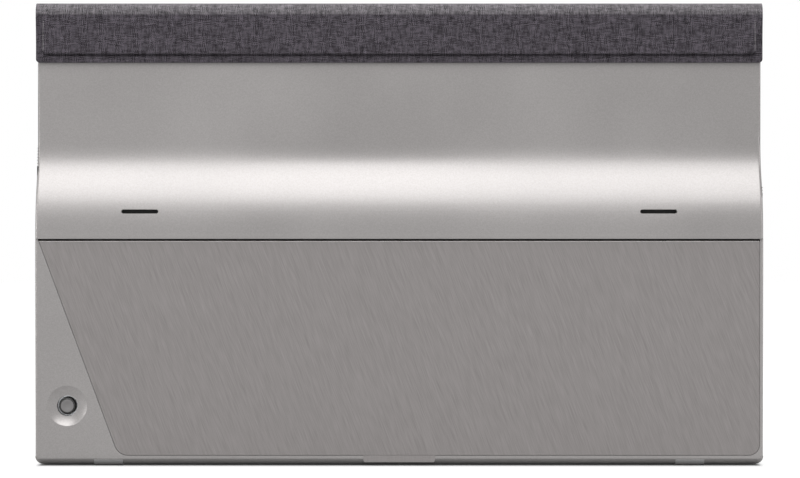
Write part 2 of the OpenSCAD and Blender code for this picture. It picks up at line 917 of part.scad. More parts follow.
module joystick_rocker() {
    color([0.85, 0.85, 0.83])
    difference() {
        union() {
            rod_y(key_mid, key_z, ring_r, key_y - ring_t / 2, key_y + ring_t / 2);
            rod_z(key_mid, key_y, trunnion_r, key_z - can_w / 2 + 0.3, key_z + can_w / 2 - 0.3);
        }
        rod_y(key_mid, key_z, ring_bore_r, key_y - ring_t, key_y + ring_t);
        rod_x(key_y, key_z, trunnion_r + pin_gap, key_mid - ring_r - 1, key_mid + ring_r + 1);
    }
}

module joystick_stem() {
    color([0.20, 0.20, 0.21]) {
        rod_y(key_mid, key_z, stem_r, stem_tip_y, key_y + 1.4);
        rod_x(key_y, key_z, trunnion_r, key_mid - ring_r + 0.1, key_mid + ring_r - 0.1);
    }
}

module joystick_cap() {
    dome_r = 9;
    color([0.45, 0.45, 0.46])
    difference() {
        intersection() {
            rod_y(key_mid, key_z, cap_r, cap_top_y, cap_skirt_y);
            translate([key_mid, cap_top_y + dome_r, key_z])
                sphere(dome_r);
        }
        rod_y(key_mid, key_z, stem_r + pin_gap, stem_tip_y - 0.7, cap_skirt_y + 1);
    }
}

// ---- stand hinges ----

module hinge_brackets() {
    color([0.55, 0.56, 0.58])
    for (s = [-1, 1])
        difference() {
            union() {
                // plate under the eye, seated in the housing
                block(
                    [s * hinge_mid - bracket_w / 2 + 0.1, floor_y, bracket_z0 + 0.1],
                    [s * hinge_mid + bracket_w / 2 - 0.1, floor_y + bracket_t, axis_z - 6.5]
                );
                for (t = [-1, 1]) {
                    x0 = s * hinge_mid + t * (eye_w / 2 + side_gap + ear_w / 2) - ear_w / 2;
                    rod_x(axis_y, axis_z, eye_r, x0, x0 + ear_w);
                    block([x0, floor_y, axis_z - 7.5], [x0 + ear_w, floor_y + bracket_t, axis_z]);
                }
            }
            rod_x(
                axis_y, axis_z, hinge_pin_r, s * hinge_mid - eye_w, s * hinge_mid + eye_w
            );
            for (t = [-1, 1]) {
                x_screw = s * hinge_mid + t * (bracket_w / 2 - 3);
                rod_y(x_screw, bracket_z0 + 3, screw_r + pin_gap, floor_y - 1, floor_y + bracket_t + 1);
                rod_y(x_screw, bracket_z0 + 3, 1.6 + pin_gap, floor_y - 1, floor_y + 0.3);
            }
        }
}

module hinge_pins() {
    reach = eye_w / 2 + side_gap + ear_w;
    color([0.80, 0.80, 0.81])
        for (s = [-1, 1])
            rod_x(axis_y, axis_z, hinge_pin_r, s * hinge_mid - reach, s * hinge_mid + reach);
}

module hinge_screws() {
    color([0.30, 0.30, 0.31])
        for (s = [-1, 1], t = [-1, 1])
            screw_y(
                s * hinge_mid + t * (bracket_w / 2 - 3), bracket_z0 + 3, floor_y + 0.3,
                floor_y + bracket_t + 1.4, screw_r, 1.6, 0.3
            );
}

module housing_screws() {
    color([0.30, 0.30, 0.31])
        for (x = chassis_screw_x)
            screw_y(
                x, chassis_screw_z, floor_y + screw_head_t, floor_in_y + 6, screw_r,
                screw_head_r, screw_head_t - 0.1
            );
}

// ---- magnets in the chassis ----

module housing_magnets() {
    color([0.60, 0.60, 0.62])
        for (x = flap_magnet_x)
            block(
                [x - magnet_w / 2, thin_in_y, flap_magnet_z - magnet_h / 2],
                [x + magnet_w / 2, thin_in_y + magnet_t, flap_magnet_z + magnet_h / 2]
            );
}

module bezel_magnets() {
    color([0.60, 0.60, 0.62])
        for (x = chin_magnet_x)
            block(
                [x - magnet_w / 2, cell_y - magnet_t, base_z + 3],
                [x + magnet_w / 2, cell_y, base_z + 3 + chin_magnet_h]
            );
}

// ---- stand ----

// (y, z) section of the metal skin: flat plate and rolled top edge.
module skin_section() {
    rect(low_y, stand_z0, skin_y, axis_z);
    intersection() {
        difference() {
            disc(axis_y, axis_z, knuckle_r);
            disc(axis_y, axis_z, knuckle_r - skin_t);
        }
        rect(low_y - 1, axis_z, axis_y, stand_z1 + 1);
    }
}

module stand_plate() {
    color([0.56, 0.54, 0.53])
        intersection() {
            along_x(stand_left, stand_right)
                skin_section();
            along_y(low_y - 1, axis_y + 1)
                stand_outline(0);
        }
}

module frame_pockets() {
    columns = 12;
    rows = 3;
    rib = 1.6;
    x0 = -half_w + 14;
    step_x = (stand_right - 4 - x0) / columns;
    z0 = stand_z0 + 9;
    step_z = (bracket_z0 - 5 - z0) / rows;
    intersection() {
        for (i = [0:columns - 1], j = [0:rows - 1])
            block(
                [x0 + i * step_x + rib / 2, stand_in_y - 1.1, z0 + j * step_z + rib / 2],
                [x0 + (i + 1) * step_x - rib / 2, stand_in_y + 1, z0 + (j + 1) * step_z - rib / 2]
            );
        along_y(stand_in_y - 3, stand_in_y + 3)
            stand_outline(-4);
    }
}

module stand_frame() {
    knuckle_gap = eye_w / 2 + side_gap + ear_w + 0.4;
    color([0.20, 0.20, 0.21])
    difference() {
        intersection() {
            union() {
                along_x(stand_left + 1, stand_right - 0.8) {
                    rect(skin_y, stand_z0 + 0.6, stand_in_y, axis_z);
                    disc(axis_y, axis_z, knuckle_r - skin_t);
                }
            }
            along_y(low_y - 1, axis_y + 6)
                stand_outline(-0.8);
        }
        frame_pockets();
        for (s = [-1, 1]) {
            // room for the eye and the ears
            rod_x(
                axis_y, axis_z, knuckle_r - skin_t + 0.01,
                s * hinge_mid - knuckle_gap, s * hinge_mid + knuckle_gap
            );
            // seat for the hinge leaf
            block(
                [s * hinge_mid - eye_w / 2, stand_in_y - leaf_t, leaf_z0],
                [s * hinge_mid + eye_w / 2, stand_in_y + 1, axis_z]
            );
            for (z = leaf_screw_z)
                rod_y(s * hinge_mid, z, 0.8 + pin_gap, skin_y + 0.1, stand_in_y);
        }
        // seats for the rubber grips
        for (s = [-1, 1])
            block(
                [s * grip_mid - grip_w / 2, skin_y + 0.6, stand_z0],
                [s * grip_mid + grip_w / 2, stand_in_y + 1, stand_z0 + grip_h]
            );
    }
}

module stand_pull_tab() {
    bevel = 3;
    color([0.58, 0.56, 0.55])
        along_y(low_y, low_y + tab_t)
            polygon([
                [-tab_w / 2, stand_z0 - 0.1], [-tab_w / 2 + bevel * 0.6, tab_z0],
                [tab_w / 2 - bevel * 0.6, tab_z0], [tab_w / 2, stand_z0 - 0.1],
                [tab_w / 2, stand_z0], [-tab_w / 2, stand_z0]
            ]);
    // tongue that keys the tab into the frame
    color([0.58, 0.56, 0.55])
        block(
            [-tab_w / 2 + 4, skin_y, stand_z0 - 1],
            [tab_w / 2 - 4, skin_y + tab_t - skin_t, stand_z0 + 0.6]
        );
}

module stand_hinge_leaves() {
    color([0.55, 0.56, 0.58])
    for (s = [-1, 1])
        difference() {
            union() {
                rod_x(axis_y, axis_z, eye_r, s * hinge_mid - eye_w / 2, s * hinge_mid + eye_w / 2);
                block(
                    [s * hinge_mid - eye_w / 2, stand_in_y - leaf_t, leaf_z0],
                    [s * hinge_mid + eye_w / 2, stand_in_y, axis_z]
                );
            }
            rod_x(
                axis_y, axis_z, hinge_pin_r + pin_gap, s * hinge_mid - eye_w, s * hinge_mid + eye_w
            );
            for (z = leaf_screw_z)
                rod_y(s * hinge_mid, z, 0.8 + pin_gap, stand_in_y - 3, stand_in_y + 1);
        }
}

module leaf_screws() {
    color([0.30, 0.30, 0.31])
        for (s = [-1, 1], z = leaf_screw_z) {
            rod_y(s * hinge_mid, z, 0.8, skin_y + 0.2, stand_in_y);
        }
}

module stand_grips() {
    color([0.10, 0.10, 0.10])
        for (s = [-1, 1])
            block(
                [s * grip_mid - grip_w / 2 + pin_gap, skin_y + 0.6, stand_z0 + 0.1],
                [s * grip_mid + grip_w / 2 - pin_gap, stand_in_y, stand_z0 + grip_h]
            );
}

// ---- cover ----

// Cloth with a flat hem and a raised field: out points from the inner to the outer face.
module cover_cloth(y_in, out, hem_t, full_t, z0, z1, field_z0, field_z1, low_r) {
    y_hem = y_in + out * hem_t;
    y_out = y_in + out * full_t;
    y_lining = y_in + out * lining_t;
    difference() {
        union() {
            along_y(min(y_in, y_hem), max(y_in, y_hem))
                sheet_outline(z0, z1, low_r, 0);
            along_y(min(y_in, y_out), max(y_in, y_out))
                round_rect(-cover_x + hem_w, field_z0, cover_x - hem_w, field_z1, field_r);
        }
        // pocket for the board and recess for the lining
        cover_board_solid(y_in, out, full_t, field_z0, field_z1);
        along_y(min(y_in - out, y_lining), max(y_in - out, y_lining))
            sheet_outline(z0 + lining_in, z1 - lining_in / 2, low_r - 1, lining_in);
    }
}

// Rectangle with rounded lower corners, drawn in at the sides.
module sheet_outline(z0, z1, r, inset) {
    x = cover_x - inset;
    rect(-x + r, z0, x - r, z1);
    rect(-x, z0 + r, x, z1);
    for (s = [-1, 1])
        disc(s * (x - r), z0 + r, r);
}

module cover_board_solid(y_in, out, full_t, field_z0, field_z1) {
    y0 = y_in + out * lining_t;
    y1 = y_in + out * (full_t - cloth_t);
    along_y(min(y0, y1), max(y0, y1))
        round_rect(
            -cover_x + hem_w + cloth_t, field_z0 + cloth_t,
            cover_x - hem_w - cloth_t, field_z1 - cloth_t, field_r - cloth_t
        );
}

module cover_lining_solid(y_in, out, z0, z1, low_r) {
    y1 = y_in + out * lining_t;
    along_y(min(y_in, y1), max(y_in, y1))
        sheet_outline(
            z0 + lining_in + pin_gap, z1 - lining_in / 2 - pin_gap, low_r - 1, lining_in + pin_gap
        );
}

// Row of bar magnets, or of pockets round them with a gap.
module magnet_bars(xs, z, y0, y1, h, gap = 0) {
    for (x = xs)
        block([x - magnet_w / 2 - gap, y0, z - h / 2 - gap], [x + magnet_w / 2 + gap, y1, z + h / 2 + gap]);
}

module flap_fabric() {
    color([0.27, 0.26, 0.28])
        cover_cloth(
            flap_in_y, -1, flap_hem_t, flap_t, flap_z0, flap_z1,
            flap_z0 + hem_h, flap_field_z1, flap_r
        );
}

module flap_board() {
    color([0.15, 0.15, 0.15])
    difference() {
        cover_board_solid(flap_in_y, -1, flap_t, flap_z0 + hem_h, flap_field_z1);
        magnet_bars(flap_magnet_x, flap_magnet_z, flap_out_y, flap_in_y, magnet_h);
    }
}

module flap_lining() {
    color([0.20, 0.20, 0.21])
        cover_lining_solid(flap_in_y, -1, flap_z0, flap_z1, flap_r);
}

module flap_magnets() {
    color([0.60, 0.60, 0.62])
        magnet_bars(
            flap_magnet_x, flap_magnet_z, flap_out_y + cloth_t, flap_in_y - lining_t, magnet_h
        );
}

// (y, z) arch of the roll between two depths measured in from its outer face.
module roll_arch(outer_in, inner_in) {
    z0 = crease_z + crease_gap / 2;
    y_front = panel_out_y - outer_in * cover_t / roll_t;
    y_rear = flap_out_y + outer_in * flap_t / roll_t;
    difference() {
        union() {
            rect(y_rear + roll_r - outer_in, z0, y_front - roll_r + outer_in, roll_top - outer_in);
            rect(y_rear, z0, y_front, roll_top - roll_r);
            disc(y_rear + roll_r - outer_in, roll_top - roll_r, roll_r - outer_in);
            disc(y_front - roll_r + outer_in, roll_top - roll_r, roll_r - outer_in);
        }
        roll_hollow(inner_in);
        rect(flap_out_y - 1, z0 - 20, panel_out_y + 1, z0);
    }
}

// (y, z) hollow of the roll: the chassis top with its two rounded edges, grown by the soft gap.
module roll_hollow(inner_in) {
    grow = (roll_t - inner_in) / roll_t;
    y0 = flap_in_y - grow * flap_t;
    y1 = panel_in_y + grow * cover_t;
    z1 = top_z + soft_gap + grow * roll_t;
    rear_r = top_edge_r + soft_gap - 0.1 + grow * (roll_r - top_edge_r - soft_gap + 0.1);
    front_r = front_edge_r + soft_gap - 0.1 + grow * (roll_r - front_edge_r - soft_gap + 0.1);
    rect(y0 + rear_r, crease_z - 20, y1 - front_r, z1);
    rect(y0, crease_z - 20, y0 + rear_r, z1 - rear_r);
    rect(y1 - front_r, crease_z - 20, y1, z1 - front_r);
    disc(y0 + rear_r, z1 - rear_r, rear_r);
    disc(y1 - front_r, z1 - front_r, front_r);
}

module spine_fabric() {
    color([0.27, 0.26, 0.28])
        along_x(-cover_x, cover_x)
            roll_arch(0, roll_t / 2);
}

module spine_lining() {
    color([0.20, 0.20, 0.21])
        along_x(-cover_x + lining_in + pin_gap, cover_x - lining_in - pin_gap)
            difference() {
                roll_hollow(roll_t / 2);
                roll_hollow(roll_t);
                rect(flap_out_y - 1, crease_z - 21, panel_out_y + 1, crease_z + crease_gap / 2);
            }
}

module cover_fabric() {
    color([0.27, 0.26, 0.28])
        cover_cloth(
            panel_in_y, 1, cover_hem_t, cover_t, panel_z0, panel_z1,
            panel_z0 + hem_h, panel_z1 - field_top, cover_r
        );
}

module cover_board() {
    color([0.15, 0.15, 0.15])
    difference() {
        cover_board_solid(panel_in_y, 1, cover_t, panel_z0 + hem_h, panel_z1 - field_top);
        magnet_bars(chin_magnet_x, cover_magnet_z, panel_in_y, panel_out_y, chin_magnet_h);
    }
}

module cover_lining() {
    color([0.20, 0.20, 0.21])
        cover_lining_solid(panel_in_y, 1, panel_z0, panel_z1, cover_r);
}

module cover_magnets() {
    color([0.60, 0.60, 0.62])
        magnet_bars(
            chin_magnet_x, cover_magnet_z, panel_in_y + lining_t, panel_out_y - cloth_t,
            chin_magnet_h
        );
}

rear_housing();
front_bezel();
lcd_panel();
light_guide();
led_strip();
panel_tray();
main_board();
board_chips();
shield_can();
board_screws();
usb_c_ports();
mini_hdmi_port();
audio_jack();
panel_ribbon();
key_cable();
speaker_leads();
left_speaker();
right_speaker();
speaker_gauzes();
key_board();
joystick_switch();
hinge_brackets();
hinge_pins();
hinge_screws();
housing_screws();
left_foot();
right_foot();
housing_magnets();
bezel_magnets();
stand_plate();
stand_frame();
stand_pull_tab();
stand_hinge_leaves();
leaf_screws();
stand_grips();
joystick_rocker();
joystick_stem();
joystick_cap();
flap_fabric();
flap_board();
flap_lining();
flap_magnets();
spine_fabric();
spine_lining();
cover_fabric();
cover_board();
cover_lining();
cover_magnets();
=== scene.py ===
"""Portable monitor with a fold-over fabric cover: its outer pieces, finishes, lights and camera.

Lengths in the classes of the pieces are in millimetres, in the frame of the solids: Z up, the rear
with the stand towards -Y, the screen towards +Y, and the ground at Z = 0. The studio is in metres.
"""

from __future__ import annotations

import json
import logging
import math
from contextlib import contextmanager
from dataclasses import dataclass
from enum import Enum
from typing import Callable, Iterator, Sequence

import bmesh
import bpy
from mathutils import Matrix, Vector

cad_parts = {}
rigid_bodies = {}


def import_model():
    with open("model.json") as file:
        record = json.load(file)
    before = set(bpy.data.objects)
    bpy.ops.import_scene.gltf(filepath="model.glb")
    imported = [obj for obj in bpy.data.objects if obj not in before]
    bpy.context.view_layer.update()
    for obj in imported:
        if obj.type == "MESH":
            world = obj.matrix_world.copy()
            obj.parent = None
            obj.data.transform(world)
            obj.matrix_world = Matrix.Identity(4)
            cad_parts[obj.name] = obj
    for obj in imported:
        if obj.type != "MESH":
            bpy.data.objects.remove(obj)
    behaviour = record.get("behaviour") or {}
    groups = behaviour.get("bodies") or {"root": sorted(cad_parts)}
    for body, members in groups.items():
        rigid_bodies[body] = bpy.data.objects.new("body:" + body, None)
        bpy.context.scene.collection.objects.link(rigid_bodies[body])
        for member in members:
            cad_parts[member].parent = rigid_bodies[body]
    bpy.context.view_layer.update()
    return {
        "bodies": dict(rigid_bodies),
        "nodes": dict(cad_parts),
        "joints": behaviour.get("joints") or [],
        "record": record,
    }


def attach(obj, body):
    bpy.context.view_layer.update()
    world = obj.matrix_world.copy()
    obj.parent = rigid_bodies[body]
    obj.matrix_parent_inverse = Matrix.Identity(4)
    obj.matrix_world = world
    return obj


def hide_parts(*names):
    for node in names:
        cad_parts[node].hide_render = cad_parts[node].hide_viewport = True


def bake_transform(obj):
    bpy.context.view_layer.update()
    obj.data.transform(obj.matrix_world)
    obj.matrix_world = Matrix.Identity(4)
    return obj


LOG = logging.getLogger("portable_monitor")
MM = 0.001
CUT_WITHIN = 1e-7
MERGE_WITHIN = 2e-6
COAT_ROUGHNESS = 0.12
SHEEN_ROUGHNESS = 0.5

Point = tuple[float, float, float]
Colour = tuple[float, float, float]
Stations = list[tuple[float, float]]
Socket = bpy.types.NodeSocket
Sockets = bpy.types.bpy_prop_collection
Inputs = dict[object, object]
Effect = tuple[Socket, Socket, Socket]


class Axis(Enum):
    """A direction of the frame."""

    X = 0
    Y = 1
    Z = 2


class Body(Enum):
    """The moving bodies that pieces ride on."""

    MONITOR = "monitor"
    STAND = "stand"
    FLAP = "cover_flap"
    SPINE = "cover_spine"
    PANEL = "cover_panel"
    KEY_CAP = "key_cap"


class Pattern(Enum):
    """The surface pattern that a finish is built on."""

    GRAIN = "grain"
    FLAKE = "flake"
    BRUSHED = "brushed"
    WEAVE = "weave"
    NAP = "nap"
    TRACKS = "tracks"
    PERFORATED = "perforated"
    CLEAR = "clear"


def srgb(red: float, green: float, blue: float) -> Colour:
    """Turn a picture tone into linear light.

    Args:
        red: Red, 0 to 255.
        green: Green, 0 to 255.
        blue: Blue, 0 to 255.

    Returns:
        The colour in linear light, each channel 0 to 1.
    """

    def channel(value: float) -> float:
        """Linear value of one channel."""
        share = value / 255
        return share / 12.92 if share <= 0.04045 else ((share + 0.055) / 1.055) ** 2.4

    return channel(red), channel(green), channel(blue)


def metres(point: Sequence[float]) -> Vector:
    """Millimetres to metres."""
    return Vector(point) * MM


def near(value: float, target: float, within: float = 0.02) -> bool:
    """Whether two lengths in millimetres agree."""
    return abs(value - target) < within


def both(first: Vector, second: Vector, **places: float) -> bool:
    """Whether two points lie at the given places along the named axes, in millimetres."""
    return all(near(getattr(end, axis), place) for end in (first, second) for axis, place in places.items())


# ---------------------------------------------------------------- workbench


class Bench:
    """One piece on the workbench, shaped by edit-mode operators. Lengths are in millimetres."""

    def __init__(self, piece: bpy.types.Object) -> None:
        """Take up a piece.

        Args:
            piece: The mesh object to shape.
        """
        self.piece = piece

    @staticmethod
    def clear_selection() -> None:
        """Deselect every object, the loaded solids too."""
        bpy.ops.object.select_all(action="DESELECT")

    @classmethod
    def _take(cls, name: str) -> "Bench":
        """Name the primitive that was just added and settle its place into its mesh.

        Args:
            name: The piece's name.

        Returns:
            The bench with the piece on it.
        """
        piece = bpy.context.object
        piece.name = name
        piece.data.name = name
        bpy.ops.object.transform_apply(location=True, rotation=True, scale=True)
        return cls(piece)

    @classmethod
    def block(cls, name: str, low: Point, high: Point) -> "Bench":
        """Start from a box.

        Args:
            name: The piece's name.
            low: Lowest corner.
            high: Highest corner.

        Returns:
            The bench with the box on it.
        """
        cls.clear_selection()
        centre = [(a + b) / 2 for a, b in zip(low, high)]
        bpy.ops.mesh.primitive_cube_add(size=MM, location=metres(centre))
        bpy.context.object.scale = [b - a for a, b in zip(low, high)]
        return cls._take(name)

    @classmethod
    def rod(
        cls, name: str, centre: Point, radius: float, length: float, along: Axis, sides: int = 64
    ) -> "Bench":
        """Start from a round rod.

        Args:
            name: The piece's name.
            centre: Middle of the rod.
            radius: Its radius.
            length: Its length.
            along: The direction of its axis.
            sides: Number of its sides.

        Returns:
            The bench with the rod on it.
        """
        cls.clear_selection()
        turn = {Axis.X: (0, math.pi / 2, 0), Axis.Y: (math.pi / 2, 0, 0), Axis.Z: (0, 0, 0)}[along]
        bpy.ops.mesh.primitive_cylinder_add(
            vertices=sides, radius=radius * MM, depth=length * MM, location=metres(centre), rotation=turn
        )
        return cls._take(name)

    @classmethod
    def ball(cls, name: str, centre: Point, radius: float) -> "Bench":
        """Start from a ball whose poles lie along Y.

        Args:
            name: The piece's name.
            centre: Its middle.
            radius: Its radius.

        Returns:
            The bench with the ball on it.
        """
        cls.clear_selection()
        bpy.ops.mesh.primitive_uv_sphere_add(
            segments=72, ring_count=90, radius=radius * MM, location=metres(centre),
            rotation=(math.pi / 2, 0, 0),
        )
        return cls._take(name)

    def take_in_hand(self) -> None:
        """Select the piece alone and make it the active one."""
        self.clear_selection()
        self.piece.select_set(True)
        bpy.context.view_layer.objects.active = self.piece

    @contextmanager
    def editing(self) -> Iterator[None]:
        """Hold the piece in edit mode."""
        self.take_in_hand()
        bpy.ops.object.mode_set(mode="EDIT")
        try:
            yield
        finally:
            bpy.ops.object.mode_set(mode="OBJECT")

    def _pick(self, kind: str, test: Callable[[list[Vector], Vector], bool]) -> None:
        """Select the elements of a kind whose corners (in mm) and normal pass a test.

        Args:
            kind: VERT, EDGE or FACE.
            test: Whether an element is picked, by its corners and its normal.
        """
        bpy.ops.mesh.select_mode(type=kind)
        bpy.ops.mesh.select_all(action="DESELECT")
        mesh = bmesh.from_edit_mesh(self.piece.data)
        elements = {"VERT": mesh.verts, "EDGE": mesh.edges, "FACE": mesh.faces}[kind]
        for element in elements:
            corners = [element] if kind == "VERT" else list(element.verts)
            normal = element.normal if kind != "EDGE" else Vector()
            if test([v.co / MM for v in corners], normal):
                element.select_set(True)
        mesh.select_flush_mode()
        bmesh.update_edit_mesh(self.piece.data)

    def pick_points(self, test: Callable[[Vector], bool]) -> None:
        """Select vertices by place."""
        self._pick("VERT", lambda corners, _: test(corners[0]))

    def pick_edges(self, test: Callable[[Vector, Vector], bool]) -> None:
        """Select edges by their two ends."""
        self._pick("EDGE", lambda corners, _: test(corners[0], corners[1]))

    def pick_faces(self, test: Callable[[Vector, Vector], bool]) -> None:
        """Select faces by middle and normal."""
        self._pick("FACE", lambda corners, normal: test(sum(corners, Vector()) / len(corners), normal))

    @staticmethod
    def slice(point: Point, normal: Point, clear_out: bool = False) -> None:
        """Cut the whole mesh with a plane.

        Args:
            point: A point on the plane.
            normal: The plane's normal.
            clear_out: Whether what lies on the normal's side is cut away and the cut closed.
        """
        bpy.ops.mesh.select_all(action="SELECT")
        bpy.ops.mesh.bisect(
            plane_co=metres(point), plane_no=normal, clear_outer=clear_out, use_fill=clear_out,
            threshold=CUT_WITHIN,
        )

    @staticmethod
    def halve(point: Point, normal: Point) -> None:
        """Cut away what lies behind a plane, and leave the cut open."""
        bpy.ops.mesh.select_all(action="SELECT")
        bpy.ops.mesh.bisect(plane_co=metres(point), plane_no=normal, clear_inner=True, threshold=CUT_WITHIN)

    def slice_at(self, axis: Axis, place: float) -> None:
        """Cut a loop square to an axis, at a place along it.

        Args:
            axis: The axis.
            place: The place along it.
        """
        normal = [0.0, 0.0, 0.0]
        normal[axis.value] = 1.0
        self.slice(tuple(place * n for n in normal), tuple(normal))

    def move(self, x: float = 0, y: float = 0, z: float = 0) -> None:
        """Shift the selection."""
        bpy.ops.transform.translate(value=(x * MM, y * MM, z * MM))

    def extrude(self, x: float = 0, y: float = 0, z: float = 0) -> None:
        """Pull the selected faces out."""
        bpy.ops.mesh.extrude_region_move(TRANSFORM_OT_translate={"value": (x * MM, y * MM, z * MM)})

    def inset(self, width: float, depth: float = 0) -> None:
        """Draw the selected faces in, and push them along their normal."""
        bpy.ops.mesh.inset(thickness=width * MM, depth=depth * MM, use_even_offset=True)

    def round_off(self, radius: float, segments: int) -> None:
        """Round the selected edges."""
        bpy.ops.mesh.bevel(offset=radius * MM, segments=segments, profile=0.5, clamp_overlap=False)

    def delete(self, kind: str = "FACE") -> None:
        """Delete the selected faces, or the selected elements of another kind."""
        bpy.ops.mesh.delete(type=kind)

    def apply(self, kind: str, **settings: object) -> None:
        """Add a modifier with its settings and apply it.

        Args:
            kind: The modifier's type.
            **settings: Its settings, as named in the modifier.
        """
        self.take_in_hand()
        modifier = self.piece.modifiers.new(kind.title(), kind)
        for key, value in settings.items():
            setattr(modifier, key, value)
        bpy.ops.object.modifier_apply(modifier=modifier.name)

    def _combine(self, other: "Bench", operation: str) -> None:
        """Combine with another solid, which is used up.

        Args:
            other: The other solid.
            operation: DIFFERENCE, UNION or INTERSECT.
        """
        self.apply("BOOLEAN", operation=operation, solver="EXACT", object=other.piece)
        mesh = other.piece.data
        bpy.data.objects.remove(other.piece)
        bpy.data.meshes.remove(mesh)

    def cut(self, *tools: "Bench") -> None:
        """Cut other solids out of this one."""
        for tool in tools:
            self._combine(tool, "DIFFERENCE")

    def add(self, *parts: "Bench") -> None:
        """Fuse other solids with this one."""
        for part in parts:
            self._combine(part, "UNION")

    def keep_inside(self, tool: "Bench") -> None:
        """Keep what lies inside another solid."""
        self._combine(tool, "INTERSECT")

    def wall(self, thickness: float) -> None:
        """Give the open surface a wall, inwards from its faces."""
        self.settle()
        self.apply("SOLIDIFY", thickness=thickness * MM, offset=-1.0, use_even_offset=True)

    def soften(self, radius: float, segments: int = 2, angle: float = 40) -> None:
        """Round every sharp edge a little.

        Args:
            radius: Radius of the rounding.
            segments: Number of faces across it.
            angle: The angle in degrees above which an edge is sharp.
        """
        self.apply(
            "BEVEL", width=radius * MM, segments=segments, limit_method="ANGLE",
            angle_limit=math.radians(angle), use_clamp_overlap=True, harden_normals=False,
        )

    def settle(self) -> None:
        """Merge doubled points and turn the faces outwards."""
        with self.editing():
            bpy.ops.mesh.select_all(action="SELECT")
            bpy.ops.mesh.remove_doubles(threshold=MERGE_WITHIN)
            bpy.ops.mesh.normals_make_consistent(inside=False)

    def smooth(self, angle: float = 35) -> None:
        """Shade smooth below an angle, and keep flat faces flat.

        Args:
            angle: The angle in degrees.
        """
        self.take_in_hand()
        bpy.ops.object.shade_smooth_by_angle(angle=math.radians(angle))
        self.apply("WEIGHTED_NORMAL", mode="FACE_AREA", weight=100, keep_sharp=True)

    def copy(self, name: str, x: float) -> "Bench":
        """Copy the piece with its own mesh.

        Args:
            name: The copy's name.
            x: How far to the right the copy lies.

        Returns:
            The bench with the copy on it.
        """
        twin = self.piece.copy()
        twin.data = self.piece.data.copy()
        twin.name = twin.data.name = name
        bpy.context.scene.collection.objects.link(twin)
        twin.data.transform(Matrix.Translation(metres((x, 0, 0))))
        return Bench(twin)


# ---------------------------------------------------------------- shader graph


class Graph:
    """A node tree, built node by node. Its helpers return the output of what they add."""

    SPACING = 220

    def __init__(self, tree: bpy.types.NodeTree) -> None:
        """Take up a node tree and empty it.

        Args:
            tree: The tree of a material or of a node group.
        """
        self.tree = tree
        self.tree.nodes.clear()
        self.reach = 0

    def node(self, kind: str, inputs: Inputs | None = None, **settings: object) -> bpy.types.Node:
        """Add a node.

        Args:
            kind: The node's type.
            inputs: A value or an output socket for each named or numbered input.
            **settings: The node's own settings.

        Returns:
            The node.
        """
        made = self.tree.nodes.new(kind)
        made.location = (self.reach, 0)
        self.reach += self.SPACING
        for key, value in settings.items():
            setattr(made, key, value)
        for key, value in (inputs or {}).items():
            if isinstance(value, bpy.types.NodeSocket):
                self.tree.links.new(value, made.inputs[key])
            else:
                made.inputs[key].default_value = value
        return made

    def out(self, kind: str, inputs: Inputs | None = None, **settings: object) -> Socket:
        """Add a node, and return its first output."""
        return self.node(kind, inputs, **settings).outputs[0]

    def math(self, operation: str, first: object, second: object = 0.0, clamp: bool = False) -> Socket:
        """Work out one value from two."""
        return self.out("ShaderNodeMath", {0: first, 1: second}, operation=operation, use_clamp=clamp)

    def times(self, first: object, second: object) -> Socket:
        """Multiply two values."""
        return self.math("MULTIPLY", first, second)

    def plus(self, first: object, second: object) -> Socket:
        """Add two values."""
        return self.math("ADD", first, second)

    def minus(self, first: object, second: object) -> Socket:
        """Take the second value from the first."""
        return self.math("SUBTRACT", first, second)

    def weigh(self, first: object, weight: object, second: object, other_weight: object) -> Socket:
        """Add two values by their weights."""
        return self.plus(self.times(first, weight), self.times(second, other_weight))

    def spread(
        self, value: object, low: float, high: float, to_low: float = 0.0, to_high: float = 1.0
    ) -> Socket:
        """Map a value from one range to another, and hold it there."""
        ends = {0: value, 1: low, 2: high, 3: to_low, 4: to_high}
        return self.out("ShaderNodeMapRange", ends, clamp=True)

    def blend(self, share: object, first: Colour, second: Colour) -> Socket:
        """Mix two colours by a share."""
        given = {0: share, 6: (*first, 1.0), 7: (*second, 1.0)}
        return self.node("ShaderNodeMix", given, data_type="RGBA").outputs[2]

    def noise(self, place: Socket, scale: object, detail: float, distortion: float = 0.0) -> Socket:
        """Soft noise over a place."""
        given = {"Vector": place, "Scale": scale, "Detail": detail, "Distortion": distortion}
        return self.out("ShaderNodeTexNoise", given)

    def cells(self, place: Socket, scale: object, output: str, **settings: object) -> Socket:
        """Cells over a place, by the output that is named."""
        made = self.node("ShaderNodeTexVoronoi", {"Vector": place, "Scale": scale}, **settings)
        return made.outputs[output]

    def place(self) -> Socket:
        """The place on the object."""
        return self.node("ShaderNodeTexCoord").outputs["Object"]

    def split(self, vector: Socket) -> Sockets:
        """The three parts of a vector."""
        return self.node("ShaderNodeSeparateXYZ", {0: vector}).outputs

    def seen(self) -> Socket:
        """Whether the eye sees this point straight, in a mirror or through glass.

        Returns:
            The share that is seen, 0 to 1.
        """
        path = self.node("ShaderNodeLightPath").outputs
        straight = self.plus(path["Is Camera Ray"], path["Is Glossy Ray"])
        return self.math("ADD", straight, path["Is Transmission Ray"], clamp=True)

    def finish(self, kind: str, surface: Socket) -> None:
        """Link the surface to the tree's output node."""
        self.node(kind, {0: surface})


def new_material(name: str) -> tuple[bpy.types.Material, Graph]:
    """Add an empty material and open its graph.

    Args:
        name: The material's name.

    Returns:
        The material and its graph.
    """
    made = bpy.data.materials.new(name)
    made.use_nodes = True
    return made, Graph(made.node_tree)


